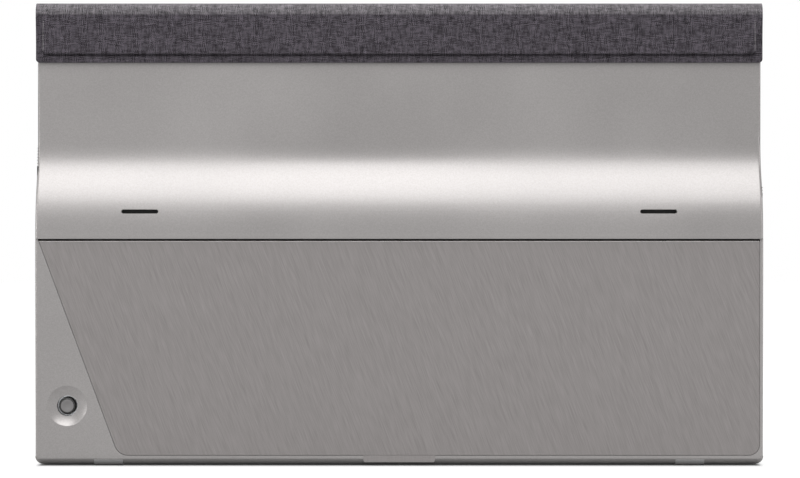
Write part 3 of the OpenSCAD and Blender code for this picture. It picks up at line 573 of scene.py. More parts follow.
class EffectGroups:
    """The surface effects that several finishes share, each a node group built once."""

    OUTPUTS = ("Shade", "Gloss", "Height")
    INPUTS = {
        Pattern.GRAIN: ("moulded_grain", {"Grain Scale": 2600.0, "Patch Scale": 24.0}),
        Pattern.FLAKE: ("paint_flake", {"Flake Scale": 2400.0, "Patch Scale": 9.0}),
        Pattern.BRUSHED: ("hairlines", {"Lean": 0.0}),
        Pattern.WEAVE: ("plain_weave", {"Pitch": 0.00052, "Slub": 0.8}),
        Pattern.NAP: ("short_nap", {"Fibre Scale": 2200.0, "Patch Scale": 38.0}),
        Pattern.TRACKS: ("board_tracks", {"Track Scale": 420.0, "Pad Scale": 260.0}),
        Pattern.PERFORATED: ("gauze_openings", {"Pitch": 0.0006, "Opening": 0.36}),
        Pattern.CLEAR: ("polish_smears", {"Smear Scale": 14.0, "Dust Scale": 900.0}),
    }
    PATCHES = (0.35, 0.65)
    HAIRLINES = ((4200.0, 120.0), (2000.0, 90.0), (900.0, 42.0))
    HAIRLINE_DEPTH = 8
    LANE_STEP = 1.731
    SLUB_STEP = 0.13
    SET_PLACES = (3.7, 3.7 + 5.1)

    def __init__(self) -> None:
        """Start with no group built."""
        self.built: dict[Pattern, bpy.types.NodeTree] = {}

    def get(self, pattern: Pattern) -> bpy.types.NodeTree:
        """Return a pattern's group, built on first use.

        Args:
            pattern: The pattern.

        Returns:
            The group's tree.
        """
        if pattern not in self.built:
            self.built[pattern] = self._build(pattern)
        return self.built[pattern]

    def _build(self, pattern: Pattern) -> bpy.types.NodeTree:
        """Build a pattern's group.

        Args:
            pattern: The pattern.

        Returns:
            The group's tree, with the outputs Shade, Gloss and Height.
        """
        name, inputs = self.INPUTS[pattern]
        tree = bpy.data.node_groups.new(name, "ShaderNodeTree")
        for label, value in inputs.items():
            made = tree.interface.new_socket(name=label, in_out="INPUT", socket_type="NodeSocketFloat")
            made.default_value = value
        for label in self.OUTPUTS:
            tree.interface.new_socket(name=label, in_out="OUTPUT", socket_type="NodeSocketFloat")
        graph = Graph(tree)
        given = graph.node("NodeGroupInput").outputs
        effect = getattr(self, f"_{pattern.value}")(graph, given)
        graph.node("NodeGroupOutput", dict(zip(self.OUTPUTS, effect)))
        return tree

    def _grain(self, graph: Graph, given: Sockets) -> Effect:
        """Moulded grain: fine pits over slow patches of wear.

        Args:
            graph: The group's graph.
            given: The group's inputs.

        Returns:
            What the group puts out: shade, gloss and height.
        """
        place = graph.place()
        pits = graph.noise(place, given[0], 3.0)
        worn = graph.spread(graph.noise(place, given[1], 4.0), *self.PATCHES)
        rubbed = graph.spread(graph.noise(place, 160.0, 5.0), 0.4, 0.62)
        return graph.weigh(worn, 0.6, pits, 0.4), graph.weigh(worn, 0.5, rubbed, 0.5), pits

    def _flake(self, graph: Graph, given: Sockets) -> Effect:
        """Metallic paint: small flakes of unlike brightness in a clear, slightly wavy coat.

        Args:
            graph: The group's graph.
            given: The group's inputs.

        Returns:
            What the group puts out: shade, gloss and height.
        """
        place = graph.place()
        tone = graph.out("ShaderNodeSeparateColor", {0: graph.cells(place, given[0], "Color", feature="F1")})
        slow = graph.spread(graph.noise(place, given[1], 3.0), *self.PATCHES)
        return graph.weigh(tone, 0.55, slow, 0.45), slow, graph.noise(place, 700.0, 2.0)

    def _brushed(self, graph: Graph, given: Sockets) -> Effect:
        """Brushed metal: long hairlines along a direction turned about Y from the upright.

        Args:
            graph: The group's graph.
            given: The group's inputs.

        Returns:
            What the group puts out: shade, gloss and height.
        """
        place = graph.place()
        turn = graph.out("ShaderNodeCombineXYZ", {"Y": given[0]})
        turned = graph.out("ShaderNodeMapping", {"Vector": place, "Rotation": turn})
        lines = []
        for wide, long in self.HAIRLINES:
            deep = long * self.HAIRLINE_DEPTH
            scale = graph.out("ShaderNodeCombineXYZ", {"X": wide, "Y": deep, "Z": long})
            stretched = graph.out("ShaderNodeVectorMath", {0: turned, 1: scale}, operation="MULTIPLY")
            lines.append(graph.spread(graph.noise(stretched, 1.0, 1.5), 0.3, 0.7))
        fine = graph.weigh(lines[0], 0.55, lines[1], 0.45)
        shade = graph.weigh(fine, 0.8, lines[2], 0.2)
        handled = graph.spread(graph.noise(place, 11.0, 4.0), *self.PATCHES, 0.4, 1.0)
        return shade, graph.times(handled, shade), fine

    def _weave(self, graph: Graph, given: Sockets) -> Effect:
        """Plain weave: two sets of threads over and under, each thread with its own tone and slubs.

        Args:
            graph: The group's graph.
            given: The group's inputs.

        Returns:
            What the group puts out: shade, gloss and height.
        """
        flat = graph.out("ShaderNodeUVMap", uv_map="cloth")
        parts = graph.split(flat)
        waver = graph.times(graph.minus(graph.noise(flat, 260.0, 2.0), 0.5), 0.55)
        run = [graph.plus(graph.math("DIVIDE", parts[i], given[0]), waver) for i in (0, 1)]
        number = [graph.math("FLOOR", value) for value in run]
        tones, ridges = [], []
        for i in (0, 1):
            lane, along = graph.times(number[i], self.LANE_STEP), graph.times(run[1 - i], self.SLUB_STEP)
            thread = {"X": lane, "Y": along, "Z": self.SET_PLACES[i]}
            slubs = graph.noise(graph.out("ShaderNodeCombineXYZ", thread), 1.0, 2.0)
            tones.append(graph.spread(slubs, 0.36, 0.72))
            across = graph.minus(graph.math("FRACT", run[i]), 0.5)
            ridges.append(graph.minus(1.0, graph.times(graph.times(across, across), 3.4)))
        parity = graph.plus(*number)
        over = graph.math("GREATER_THAN", graph.math("FRACT", graph.times(parity, 0.5)), 0.25)
        under = graph.minus(1.0, over)
        tone = graph.weigh(tones[0], over, tones[1], under)
        height = graph.math("MAXIMUM", graph.weigh(ridges[0], over, ridges[1], under), 0.0)
        # The thread's height is added into the tone, so crests are lighter and the sides and gaps between
        # threads darker: painted shade in the weave.
        shade = graph.weigh(tone, given[1], graph.spread(height, 0.2, 0.9), 0.12)
        shade = graph.plus(shade, graph.times(graph.noise(flat, 55.0, 3.0), 0.1))
        return graph.math("MINIMUM", shade, 1.0), tone, height

    def _nap(self, graph: Graph, given: Sockets) -> Effect:
        """Short brushed nap: soft fibres that lie in slow patches.

        Args:
            graph: The group's graph.
            given: The group's inputs.

        Returns:
            What the group puts out: shade, gloss and height.
        """
        place = graph.place()
        fibre = graph.noise(place, given[0], 4.0, 1.2)
        slow = graph.spread(graph.noise(place, given[1], 4.0, 0.6), 0.38, 0.62)
        return graph.weigh(fibre, 0.5, slow, 0.5), slow, fibre

    def _tracks(self, graph: Graph, given: Sockets) -> Effect:
        """Circuit board: copper tracks in right-angled steps and round pads under the lacquer.

        Args:
            graph: The group's graph.
            given: The group's inputs.

        Returns:
            What the group puts out: shade, gloss and height.
        """
        parts = graph.split(graph.place())
        flat = graph.out("ShaderNodeCombineXYZ", {"X": parts[0], "Y": parts[2]})
        steps = graph.cells(flat, given[1], "Distance", distance="CHEBYCHEV")
        track = graph.spread(graph.math("FRACT", graph.times(steps, 5.0)), 0.42, 0.5)
        dots = graph.cells(flat, given[0], "Distance", distance="EUCLIDEAN")
        pad = graph.math("LESS_THAN", dots, 0.22)
        shade = graph.math("MAXIMUM", graph.times(track, 0.6), pad)
        return shade, pad, shade

    def _perforated(self, graph: Graph, given: Sockets) -> Effect:
        """Gauze: rows of small round openings.

        Args:
            graph: The group's graph.
            given: The group's inputs.

        Returns:
            What the group puts out: shade, gloss and height.
        """
        parts = graph.split(graph.place())
        offsets = []
        for i in (0, 2):
            cell = graph.math("FRACT", graph.math("DIVIDE", parts[i], given[0]))
            offsets.append(graph.math("POWER", graph.minus(cell, 0.5), 2.0))
        wire = graph.math("GREATER_THAN", graph.math("SQRT", graph.plus(*offsets)), given[1])
        return wire, wire, wire

    def _clear(self, graph: Graph, given: Sockets) -> Effect:
        """Polished surface: faint smears of handling.

        Args:
            graph: The group's graph.
            given: The group's inputs.

        Returns:
            What the group puts out: shade, gloss and height.
        """
        place = graph.place()
        smears = graph.spread(graph.noise(place, given[0], 5.0, 1.5), 0.42, 0.7)
        return smears, smears, graph.noise(place, given[1], 1.0)


@dataclass(frozen=True)
class Finish:
    """A finish: two tones and a range of roughness that a surface pattern mixes.

    Attributes:
        name: The material's name.
        pattern: The surface pattern.
        dark: The darker tone, in picture values.
        light: The lighter tone, in picture values.
        rough: Roughness where the pattern is low and where it is high.
        metallic: How metallic the surface is.
        bump: Depth of the pattern's relief, in millimetres.
        values: Values for the pattern group's named inputs.
        specular: Level of the plain reflection.
        coat: Weight of a clear coat.
        sheen: Weight of the soft sheen of cloth.
        transmission: How much light passes, for clear pieces.
    """

    name: str
    pattern: Pattern
    dark: Colour
    light: Colour
    rough: tuple[float, float] = (0.45, 0.6)
    metallic: float = 0.0
    bump: float = 0.01
    values: tuple[tuple[str, float], ...] = ()
    specular: float = 0.5
    coat: float = 0.0
    sheen: float = 0.0
    transmission: float = 0.0

    def build(self, groups: EffectGroups) -> bpy.types.Material:
        """Build the material.

        Args:
            groups: The shared effect groups.

        Returns:
            The material.
        """
        made, graph = new_material(self.name)
        effect = graph.node("ShaderNodeGroup", node_tree=groups.get(self.pattern))
        for label, value in self.values:
            effect.inputs[label].default_value = value
        shade, gloss, height = effect.outputs
        relief = {"Strength": 1.0, "Distance": self.bump * MM, "Height": height}
        given = {
            "Base Color": graph.blend(shade, srgb(*self.dark), srgb(*self.light)),
            "Roughness": graph.spread(gloss, 0.0, 1.0, *self.rough),
            "Normal": graph.out("ShaderNodeBump", relief),
            "Metallic": self.metallic,
            "Specular IOR Level": self.specular,
            "Coat Weight": self.coat,
            "Sheen Weight": self.sheen,
            "Transmission Weight": self.transmission,
        }
        if self.coat:
            given["Coat Roughness"] = COAT_ROUGHNESS
        if self.sheen:
            given["Sheen Roughness"] = SHEEN_ROUGHNESS
        graph.finish("ShaderNodeOutputMaterial", graph.out("ShaderNodeBsdfPrincipled", given))
        return made


class Paintshop:
    """Holds the finishes of this monitor and lays them on its pieces."""

    FINISHES = {
        finish.name: finish
        for finish in (
            Finish(
                "silver_paint", Pattern.FLAKE, (139, 136, 135), (154, 151, 150), (0.3, 0.4),
                0.6, 0.0016, coat=0.1,
            ),
            Finish(
                "brushed_stand", Pattern.BRUSHED, (121, 117, 116), (143, 139, 138), (0.36, 0.46),
                0.6, 0.001, (("Lean", math.radians(20.4)),),
            ),
            Finish("tab_metal", Pattern.BRUSHED, (130, 126, 125), (141, 137, 136), (0.34, 0.45), 0.6, 0.001),
            Finish("bezel_plastic", Pattern.GRAIN, (24, 24, 26), (36, 36, 38), (0.42, 0.6), 0.0, 0.008),
            Finish("stand_moulding", Pattern.GRAIN, (42, 42, 44), (58, 58, 60), (0.48, 0.66), 0.0, 0.012),
            Finish("socket_plastic", Pattern.GRAIN, (22, 22, 23), (34, 34, 36), (0.35, 0.5), 0.0, 0.005),
            Finish("screen", Pattern.CLEAR, (6, 6, 8), (13, 13, 16), (0.06, 0.2), 0.0, 0.0005, coat=0.3),
            Finish(
                "clear_acrylic", Pattern.CLEAR, (214, 222, 228), (232, 238, 242), (0.08, 0.2),
                0.0, 0.001, transmission=0.5,
            ),
            Finish("led_white", Pattern.GRAIN, (224, 216, 176), (244, 238, 210), (0.35, 0.5), 0.0, 0.003),
            Finish(
                "sheet_aluminium", Pattern.BRUSHED, (150, 152, 156), (196, 198, 202), (0.3, 0.5),
                0.9, 0.002,
            ),
            Finish(
                "circuit_board", Pattern.TRACKS, (12, 62, 34), (64, 128, 74), (0.3, 0.42),
                0.0, 0.02, coat=0.4,
            ),
            Finish("chip_black", Pattern.GRAIN, (20, 20, 22), (40, 40, 42), (0.4, 0.6), 0.0, 0.006),
            Finish(
                "plated_steel", Pattern.BRUSHED, (158, 159, 161), (206, 207, 209), (0.2, 0.4),
                0.95, 0.001,
            ),
            Finish("hinge_steel", Pattern.BRUSHED, (92, 93, 96), (132, 133, 136), (0.3, 0.5), 0.9, 0.003),
            Finish("flex_amber", Pattern.GRAIN, (146, 84, 18), (196, 126, 44), (0.25, 0.4), 0.0, 0.003),
            Finish("flex_white", Pattern.GRAIN, (198, 198, 194), (222, 222, 218), (0.4, 0.55), 0.0, 0.003),
            Finish("wire_red", Pattern.GRAIN, (140, 18, 14), (184, 34, 28), (0.35, 0.5), 0.0, 0.003),
            Finish("speaker_black", Pattern.GRAIN, (22, 22, 24), (40, 40, 43), (0.5, 0.7), 0.0, 0.01),
            Finish("gauze_black", Pattern.PERFORATED, (4, 4, 4), (44, 43, 43), (0.45, 0.65), 0.3, 0.08),
            Finish("foot_rubber", Pattern.GRAIN, (172, 171, 171), (190, 189, 189), (0.5, 0.7), 0.0, 0.01),
            Finish("grip_rubber", Pattern.GRAIN, (24, 24, 24), (40, 40, 40), (0.65, 0.85), 0.0, 0.02),
            Finish(
                "magnet_nickel", Pattern.CLEAR, (170, 170, 172), (204, 203, 200), (0.15, 0.35),
                0.95, 0.001,
            ),
            # Near-black: painted shade in the gap round the menu key, on the well's walls and on the cap's
            # rim and skirt.
            Finish("key_painted_shade", Pattern.GRAIN, (20, 20, 20), (32, 31, 31), (0.42, 0.56), 0.0, 0.004),
            # Brighter, glossier copy of the stand's metal: painted highlight along the plate's folded top
            # edge.
            Finish("fold_painted_highlight", Pattern.BRUSHED, (132, 129, 128), (148, 145, 144), (0.26, 0.36), 0.8, 0.0005),
            Finish("key_grey", Pattern.GRAIN, (112, 110, 110), (128, 126, 126), (0.34, 0.5), 0.15, 0.004),
            Finish("key_plastic", Pattern.GRAIN, (196, 196, 190), (216, 216, 210), (0.4, 0.55), 0.0, 0.004),
            Finish(
                "linen", Pattern.WEAVE, (2, 2, 2), (108, 102, 110), (0.82, 0.98),
                0.0, 0.07, specular=0.1, sheen=0.06,
            ),
            # Lighter, glossier copy of the linen: painted highlight where the light from above falls on the
            # roll over the top edge and on the raised fields' side edges.
            Finish(
                "linen_painted_highlight", Pattern.WEAVE, (6, 6, 6), (136, 131, 136), (0.6, 0.8),
                0.0, 0.07, specular=0.25, sheen=0.06,
            ),
            Finish("cover_board", Pattern.GRAIN, (52, 50, 48), (74, 71, 68), (0.7, 0.9), 0.0, 0.02),
            Finish(
                "suede_lining", Pattern.NAP, (44, 44, 47), (72, 72, 76), (0.85, 1.0),
                0.0, 0.05, specular=0.15, sheen=0.45,
            ),
        )
    }

    def __init__(self) -> None:
        """Start with no material built."""
        self.groups = EffectGroups()
        self.built: dict[str, bpy.types.Material] = {}

    def material(self, name: str) -> bpy.types.Material:
        """Return a finish's material, built on first use.

        Args:
            name: The finish's name.

        Returns:
            The material.
        """
        if name not in self.built:
            self.built[name] = self.FINISHES[name].build(self.groups)
        return self.built[name]

    def lay(self, piece: bpy.types.Object, name: str) -> None:
        """Lay a finish on a whole piece.

        Args:
            piece: The piece.
            name: The finish, named as the record's material slot.
        """
        piece.data.materials.clear()
        piece.data.materials.append(self.material(name))

    def lay_part(self, piece: bpy.types.Object, name: str, test: Callable[[Vector, Vector], bool]) -> None:
        """Lay a second finish on some of a piece's faces.

        Args:
            piece: The piece.
            name: The finish.
            test: Whether a face gets it, by its middle in millimetres and its normal.
        """
        piece.data.materials.append(self.material(name))
        for face in piece.data.polygons:
            if test(face.center / MM, face.normal):
                face.material_index = len(piece.data.materials) - 1

    def dress_solids(self, frame: dict) -> int:
        """Lay each carried-over solid's finish by the record's material slot.


        Returns:
            The number of solids dressed.
        """
        slots = {row["node"]: row["material_slot"] for row in frame["record"]["subparts"]}
        for name, solid in frame["nodes"].items():
            finish = self.material(slots[name])
            for index in range(len(solid.material_slots)):
                solid.material_slots[index].material = finish
            if not solid.material_slots:
                solid.data.materials.append(finish)
        return len(frame["nodes"])


def hand_over(
    bench: Bench, body: Body, slot: str, shop: Paintshop, *solids: str, across: Body | None = None,
    start: Point | None = None, end: Point | None = None,
) -> bpy.types.Object:
    """Finish a piece: lay its finish, seat it on its body unless it crosses a crease, and hide the solids
    that it replaces.

    Args:
        bench: The bench with the finished shape.
        body: The body it rides on.
        slot: The record's material slot.
        shop: The finishes.
        *solids: The solids that it replaces.
        across: Given as the second body for cloth that crosses a crease; only whether it is given is read,
            and such cloth stays in place on no body.
        start: Where the first body's part ends, for such cloth; not used.
        end: Where the second body's part starts; not used.

    Returns:
        The piece.
    """
    piece = bench.piece
    shop.lay(piece, slot)
    if across is None:
        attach(piece, body.value)
    else:
        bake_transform(piece)
    if solids:
        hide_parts(*solids)
    LOG.info("%s: %d faces on %s", piece.name, len(piece.data.polygons), body.value)
    return piece


# ---------------------------------------------------------------- chassis


@dataclass
class Chassis:
    """The silver rear housing with its ramp and recess, the feet and the screen's bezel.

    An x, y or z in a size's name is a place on that axis, r a radius, w a width, t a thickness and
    h a height. Left and right are as seen from behind.
    """

    half_w: float = 177.5
    base_z: float = 0.6
    top_z: float = 223.6
    face_y: float = 7.25
    split_y: float = 5.25
    rear_y: float = -10.75
    low_y: float = -9.55
    thin_y: float = 0.25
    wall: float = 1.6
    corner_r: float = 4.0
    low_edge_r: float = 4.2
    top_edge_r: float = 2.4
    side_edge_r: float = 1.4
    lip_z: float = 110.5
    lip_edge_r: float = 0.35
    lip_step: float = 0.02
    ramp_z0: float = 114.1
    ramp_z1: float = 140.1
    ramp_z2: float = 157.7
    floor_y: float = -6.25
    floor_in_y: float = -4.75
    axis_y: float = -5.05
    axis_z: float = 105.5
    groove_r: float = 6.1
    groove_wall_r: float = 7.0
    groove_from: float = -80
    groove_sweep: float = 155
    end_skin: float = 1.5
    stand_left: float = -176.0
    stand_right: float = 175.8
    stand_low_x: float = -136.95
    stand_z0: float = 5.0
    stand_gap: float = 0.12
    stand_slope: float = 20.4
    picture_x: float = 172.1
    picture_z0: float = 22.6
    picture_z1: float = 216.2
    bezel_edge_r: float = 0.7
    bezel_skin: float = 0.8
    bezel_rim: float = 1.4
    window_edge_r: float = 0.3
    key_x: float = -162.0
    key_z: float = 29.1
    dish_depth: float = 2.6
    dish_r: float = 10.0
    well_r: float = 5.05
    slot_x: float = 126.5
    slot_z: float = 123.9
    slot_w: float = 18.0
    slot_t: float = 2.0
    foot_x: float = 141.8
    foot_w: float = 14.0
    foot_h: float = 2.9
    foot_front_y: float = 4.75
    foot_turn_z: float = 4.8
    foot_crowd: float = 1.6
    foot_sunk: float = 0.8
    foot_seat_z: float = 1.4
    left_corner_r: float = 6.5
    right_corner_r: float = 5.4
    notch_low: Point = (-17.8, -13, 1.3)
    notch_high: Point = (17.8, -7.65, 6)
    duct_half: tuple[float, float] = (11, 3)
    duct_y: tuple[float, float] = (-9.0, -6.35)
    bracket_x: float = 112
    bracket_half: float = 13.2
    bracket_y: tuple[float, float] = (-7, -5.05)
    bracket_z: tuple[float, float] = (88.5, 103.5)
    screw_xs: tuple[float, ...] = (-130, -45, 45, 130)
    screw_z: float = 9.2
    screw_r: float = 2.1
    jack_z: float = 22.6
    jack_r: float = 2.7
    usb_zs: tuple[float, ...] = (36.6, 50.6)
    usb_half: float = 4.62
    usb_corner_r: float = 1.75
    video_z: tuple[float, float] = (58.85, 70.35)

    def ramp_angle(self) -> float:
        """Slope of the ramp where its two arcs meet."""
        return 2 * math.atan((self.thin_y - self.rear_y) / (self.ramp_z2 - self.ramp_z0))

    def rear_depth(self, z: float) -> float:
        """Depth of the rear face above the lip, at a height.

        Args:
            z: The height.

        Returns:
            The depth.
        """
        angle = self.ramp_angle()
        convex = (self.ramp_z1 - self.ramp_z0) / math.sin(angle)
        hollow = (self.ramp_z2 - self.ramp_z1) / math.sin(angle)
        if z <= self.ramp_z0:
            return self.rear_y
        if z <= self.ramp_z1:
            return self.rear_y + convex - math.sqrt(convex**2 - (z - self.ramp_z0) ** 2)
        if z <= self.ramp_z2:
            return self.thin_y - hollow + math.sqrt(hollow**2 - (self.ramp_z2 - z) ** 2)
        return self.thin_y

    def ramp_heights(self, steps: int = 30) -> list[float]:
        """Evenly spaced heights up the ramp."""
        span = self.ramp_z2 - self.ramp_z0
        return [self.ramp_z0 + span * i / steps for i in range(steps + 1)]

    @staticmethod
    def quarter(steps: int) -> list[tuple[float, float]]:
        """Steps of a quarter turn, each as 1 less its cosine and 1 less its sine."""
        turns = [math.pi / 2 * i / steps for i in range(steps + 1)]
        return [(1 - math.cos(turn), 1 - math.sin(turn)) for turn in turns]

    def outer_stations(self) -> Stations:
        """Height and depth of the rear face from the bottom to the top.

        Returns:
            The stations, upwards.
        """
        low_r, lip_r, top_r = self.low_edge_r, self.lip_edge_r, self.top_edge_r
        stations = [(self.base_z + low_r * up, self.low_y + low_r * back) for up, back in self.quarter(8)]
        stations.append((self.lip_z - self.lip_step, self.low_y))
        stations += [(self.lip_z + lip_r * up, self.rear_y + lip_r * back) for up, back in self.quarter(3)]
        stations += [(z, self.rear_depth(z)) for z in self.ramp_heights()]
        for fore, fall in self.quarter(6):
            stations.append((self.top_z - top_r * fall, self.thin_y + top_r * fore))
        return stations

    def inner_stations(self) -> Stations:
        """The same for the hollow inside, round the stand's groove.

        Returns:
            The stations, upwards.
        """
        reach = self.groove_wall_r
        stations = [(self.base_z + self.wall, self.floor_in_y), (self.axis_z - reach, self.floor_in_y)]
        for i in range(9):
            angle = math.radians(self.groove_from + self.groove_sweep * i / 8)
            stations.append((self.axis_z + reach * math.sin(angle), self.axis_y + reach * math.cos(angle)))
        stations.append((self.lip_z + 1.5 * self.wall, self.rear_y + self.wall + 2.0))
        for z in self.ramp_heights(12)[1:]:
            slope = (self.rear_depth(z + 0.05) - self.rear_depth(z - 0.05)) / 0.1
            stations.append((z, self.rear_depth(z) + self.wall * math.hypot(1, slope)))
        stations.append((self.top_z - self.wall, self.thin_y + self.wall))
        return stations

    @staticmethod
    def section_block(name: str, stations: Stations, x0: float, x1: float, front_y: float) -> Bench:
        """Shape a block whose rear face follows a run of stations.

        Args:
            name: The piece's name.
            stations: Height and depth of the rear face, upwards.
            x0: Left end.
            x1: Right end.
            front_y: Depth of the flat front.

        Returns:
            The bench with the block on it.
        """
        back_y = min(y for _, y in stations) - 1.0
        low, high = stations[0][0], stations[-1][0]
        bench = Bench.block(name, (x0, back_y, low), (x1, front_y, high))
        with bench.editing():
            for z, _ in stations[1:-1]:
                bench.slice_at(Axis.Z, z)
            for z, y in stations:
                bench.pick_points(lambda p: near(p.z, z, 0.006) and near(p.y, back_y))
                bench.move(y=y - back_y)
        return bench

    def outline_block(self, name: str, y0: float, y1: float, inset: float = 0.0) -> Bench:
        """A plain block with the chassis's outline and its four rounded corners.

        Args:
            name: The piece's name.
            y0: Depth of its rear face.
            y1: Depth of its front face.
            inset: How far its outline lies inside the chassis's own.

        Returns:
            The bench with the block on it.
        """
        x, low, high = self.half_w - inset, self.base_z + inset, self.top_z - inset
        bench = Bench.block(name, (-x, y0, low), (x, y1, high))
        with bench.editing():
            bench.pick_edges(lambda a, b: near(a.x, b.x) and near(a.z, b.z))
            bench.round_off(self.corner_r, 8)
        return bench

    def trim_to_stand(self, bench: Bench, grow: float, segments: int) -> None:
        """Give a block in edit mode the stand's sloped left side and two rounded corners.

        Args:
            bench: The bench with the block.
            grow: How far the outline lies outside the stand's own.
            segments: Number of faces round each corner.
        """
        slope = math.radians(self.stand_slope)
        low, right = self.stand_z0 - grow, self.stand_right + grow
        edge = (self.stand_low_x - grow / math.cos(slope), 0.0, self.stand_z0)
        bench.slice(edge, (-math.cos(slope), 0.0, -math.sin(slope)), clear_out=True)
        bench.pick_edges(lambda a, b: both(a, b, z=low) and near(a.x, b.x) and a.x < 0)
        bench.round_off((self.left_corner_r + grow) * math.tan((math.pi / 2 - slope) / 2), segments)
        bench.pick_edges(lambda a, b: both(a, b, x=right, z=low))
        bench.round_off(self.right_corner_r + grow, segments)

    def stand_block(self, name: str, grow: float, y0: float, y1: float, top: float) -> Bench:
        """A block with the stand's outline, a little larger than the stand.

        Args:
            name: The piece's name.
            grow: How far its outline lies outside the stand's own.
            y0: Depth of its rear face.
            y1: Depth of its front face.
            top: Height of its upper face.

        Returns:
            The bench with the block on it.
        """
        low = (self.stand_left - grow - 1, y0, self.stand_z0 - grow)
        bench = Bench.block(name, low, (self.stand_right + grow, y1, top))
        with bench.editing():
            self.trim_to_stand(bench, grow, 10)
        return bench

    @staticmethod
    def pill(name: str, low: Point, high: Point, along: Axis, radius: float) -> Bench:
        """A block whose four edges along an axis are rounded.

        Args:
            name: The piece's name.
            low: Lowest corner.
            high: Highest corner.
            along: The axis.
            radius: Radius of the rounding.

        Returns:
            The bench with the block on it.
        """
        bench = Bench.block(name, low, high)
        others = [axis.value for axis in Axis if axis is not along]
        with bench.editing():
            bench.pick_edges(lambda a, b: all(near(a[i], b[i]) for i in others))
            bench.round_off(radius, 8)
        return bench

    def stand_tools(self) -> list[Bench]:
        """What makes room for the stand: its recess, the groove of its hinge and the tab's notch.

        Returns:
            The benches with the cutting solids.
        """
        middle = ((self.stand_left + self.stand_right) / 2, self.axis_y, self.axis_z)
        long = self.stand_right - self.stand_left + 0.6
        behind_y = self.low_y + self.end_skin
        groove = Bench.rod("groove", middle, self.groove_r, long, Axis.X)
        groove.keep_inside(Bench.block("behind_skin", (-180, behind_y, 90), (180, 10, 120)))
        mouth = Bench.rod("groove_mouth", middle, self.groove_r - 0.03, long + 4, Axis.X)
        mouth.keep_inside(self.stand_block("groove_ends", self.stand_gap + 0.01, -20, behind_y + 0.1, 120))
        return [
            self.stand_block("recess", self.stand_gap, self.rear_y - 2, self.floor_y, self.lip_z - 0.01),
            groove,
            mouth,
            Bench.block("tab_notch", self.notch_low, self.notch_high),
        ]

    def housing_tools(self) -> list[Bench]:
        """Everything that is cut out of the rear housing.

        Returns:
            The benches with the cutting solids.
        """
        tools = self.stand_tools()
        ball_r = (self.dish_r**2 + self.dish_depth**2) / (2 * self.dish_depth)
        ball_y = self.low_y + self.dish_depth - ball_r
        tools.append(Bench.ball("dish", (self.key_x, ball_y, self.key_z), ball_r))
        tools.append(Bench.rod("well", (self.key_x, -7, self.key_z), self.well_r, 8, Axis.Y))
        for side in (-1, 1):
            x, half_t = side * self.slot_x, self.slot_t / 2
            low = (x - self.slot_w / 2, -13, self.slot_z - half_t)
            high = (x + self.slot_w / 2, -5, self.slot_z + half_t)
            tools.append(self.pill("slot", low, high, Axis.Y, half_t - 0.01))
            x = side * self.bracket_x
            low = (x - self.bracket_half, self.bracket_y[0], self.bracket_z[0])
            high = (x + self.bracket_half, self.bracket_y[1], self.bracket_z[1])
            tools.append(Bench.block("bracket_seat", low, high))
        for x in self.screw_xs:
            tools.append(Bench.rod("screw_seat", (x, -6, self.screw_z), self.screw_r, 1.3, Axis.Y, 32))
        return tools + self.port_tools()

    def port_tools(self) -> list[Bench]:
        """The openings of the sockets in the right side.

        Returns:
            The benches with the cutting solids.
        """
        right = self.half_w + 1
        tools = [Bench.rod("jack_mouth", (right - 4, -2.05, self.jack_z), self.jack_r, 10, Axis.X, 40)]
        for z in self.usb_zs:
            low, high = (right - 9, -2.56, z - self.usb_half), (right, 1.0, z + self.usb_half)
            tools.append(self.pill("usb_mouth", low, high, Axis.X, self.usb_corner_r))
        low, high = self.video_z
        tools.append(Bench.block("video_mouth", (right - 9, -2.5, low), (right, 1.0, high)))
        return tools

    def build_housing(self, shop: Paintshop) -> None:
        """Build the rear housing.

        Args:
            shop: The finishes.
        """
        half, inner = self.half_w, self.half_w - self.wall
        bench = self.section_block("housing_shell", self.outer_stations(), -half, half, self.split_y)
        bench.keep_inside(self.outline_block("outline", self.rear_y - 3, self.split_y + 1))
        with bench.editing():
            bench.pick_edges(
                lambda a, b: min(abs(a.x), abs(b.x)) > half - 0.01
                and max(a.y, b.y) < self.split_y - 0.1
                and abs(a.y - b.y) < 1.1 * abs(a.z - b.z)
            )
            bench.round_off(self.side_edge_r, 5)
        bench.cut(self.section_block("hollow", self.inner_stations(), -inner, inner, self.split_y + 2))
        duct_w, duct_t = self.duct_half
        for side in (-1, 1):
            x = side * self.slot_x
            low = (x - duct_w, self.duct_y[0], self.slot_z - duct_t)
            bench.add(Bench.block("duct", low, (x + duct_w, self.duct_y[1], self.slot_z + duct_t)))
        bench.cut(*self.housing_tools())
        bench.settle()
        bench.smooth(30)
        housing = hand_over(bench, Body.MONITOR, "silver_paint", shop, "rear_housing")
        x, z, reach = self.key_x, self.key_z, self.well_r + 0.05
        # The walls of the well round the menu key get near-black: painted shade in the gap.
        shop.lay_part(housing, "key_painted_shade", lambda p, n: math.hypot(p.x - x, p.z - z) < reach)

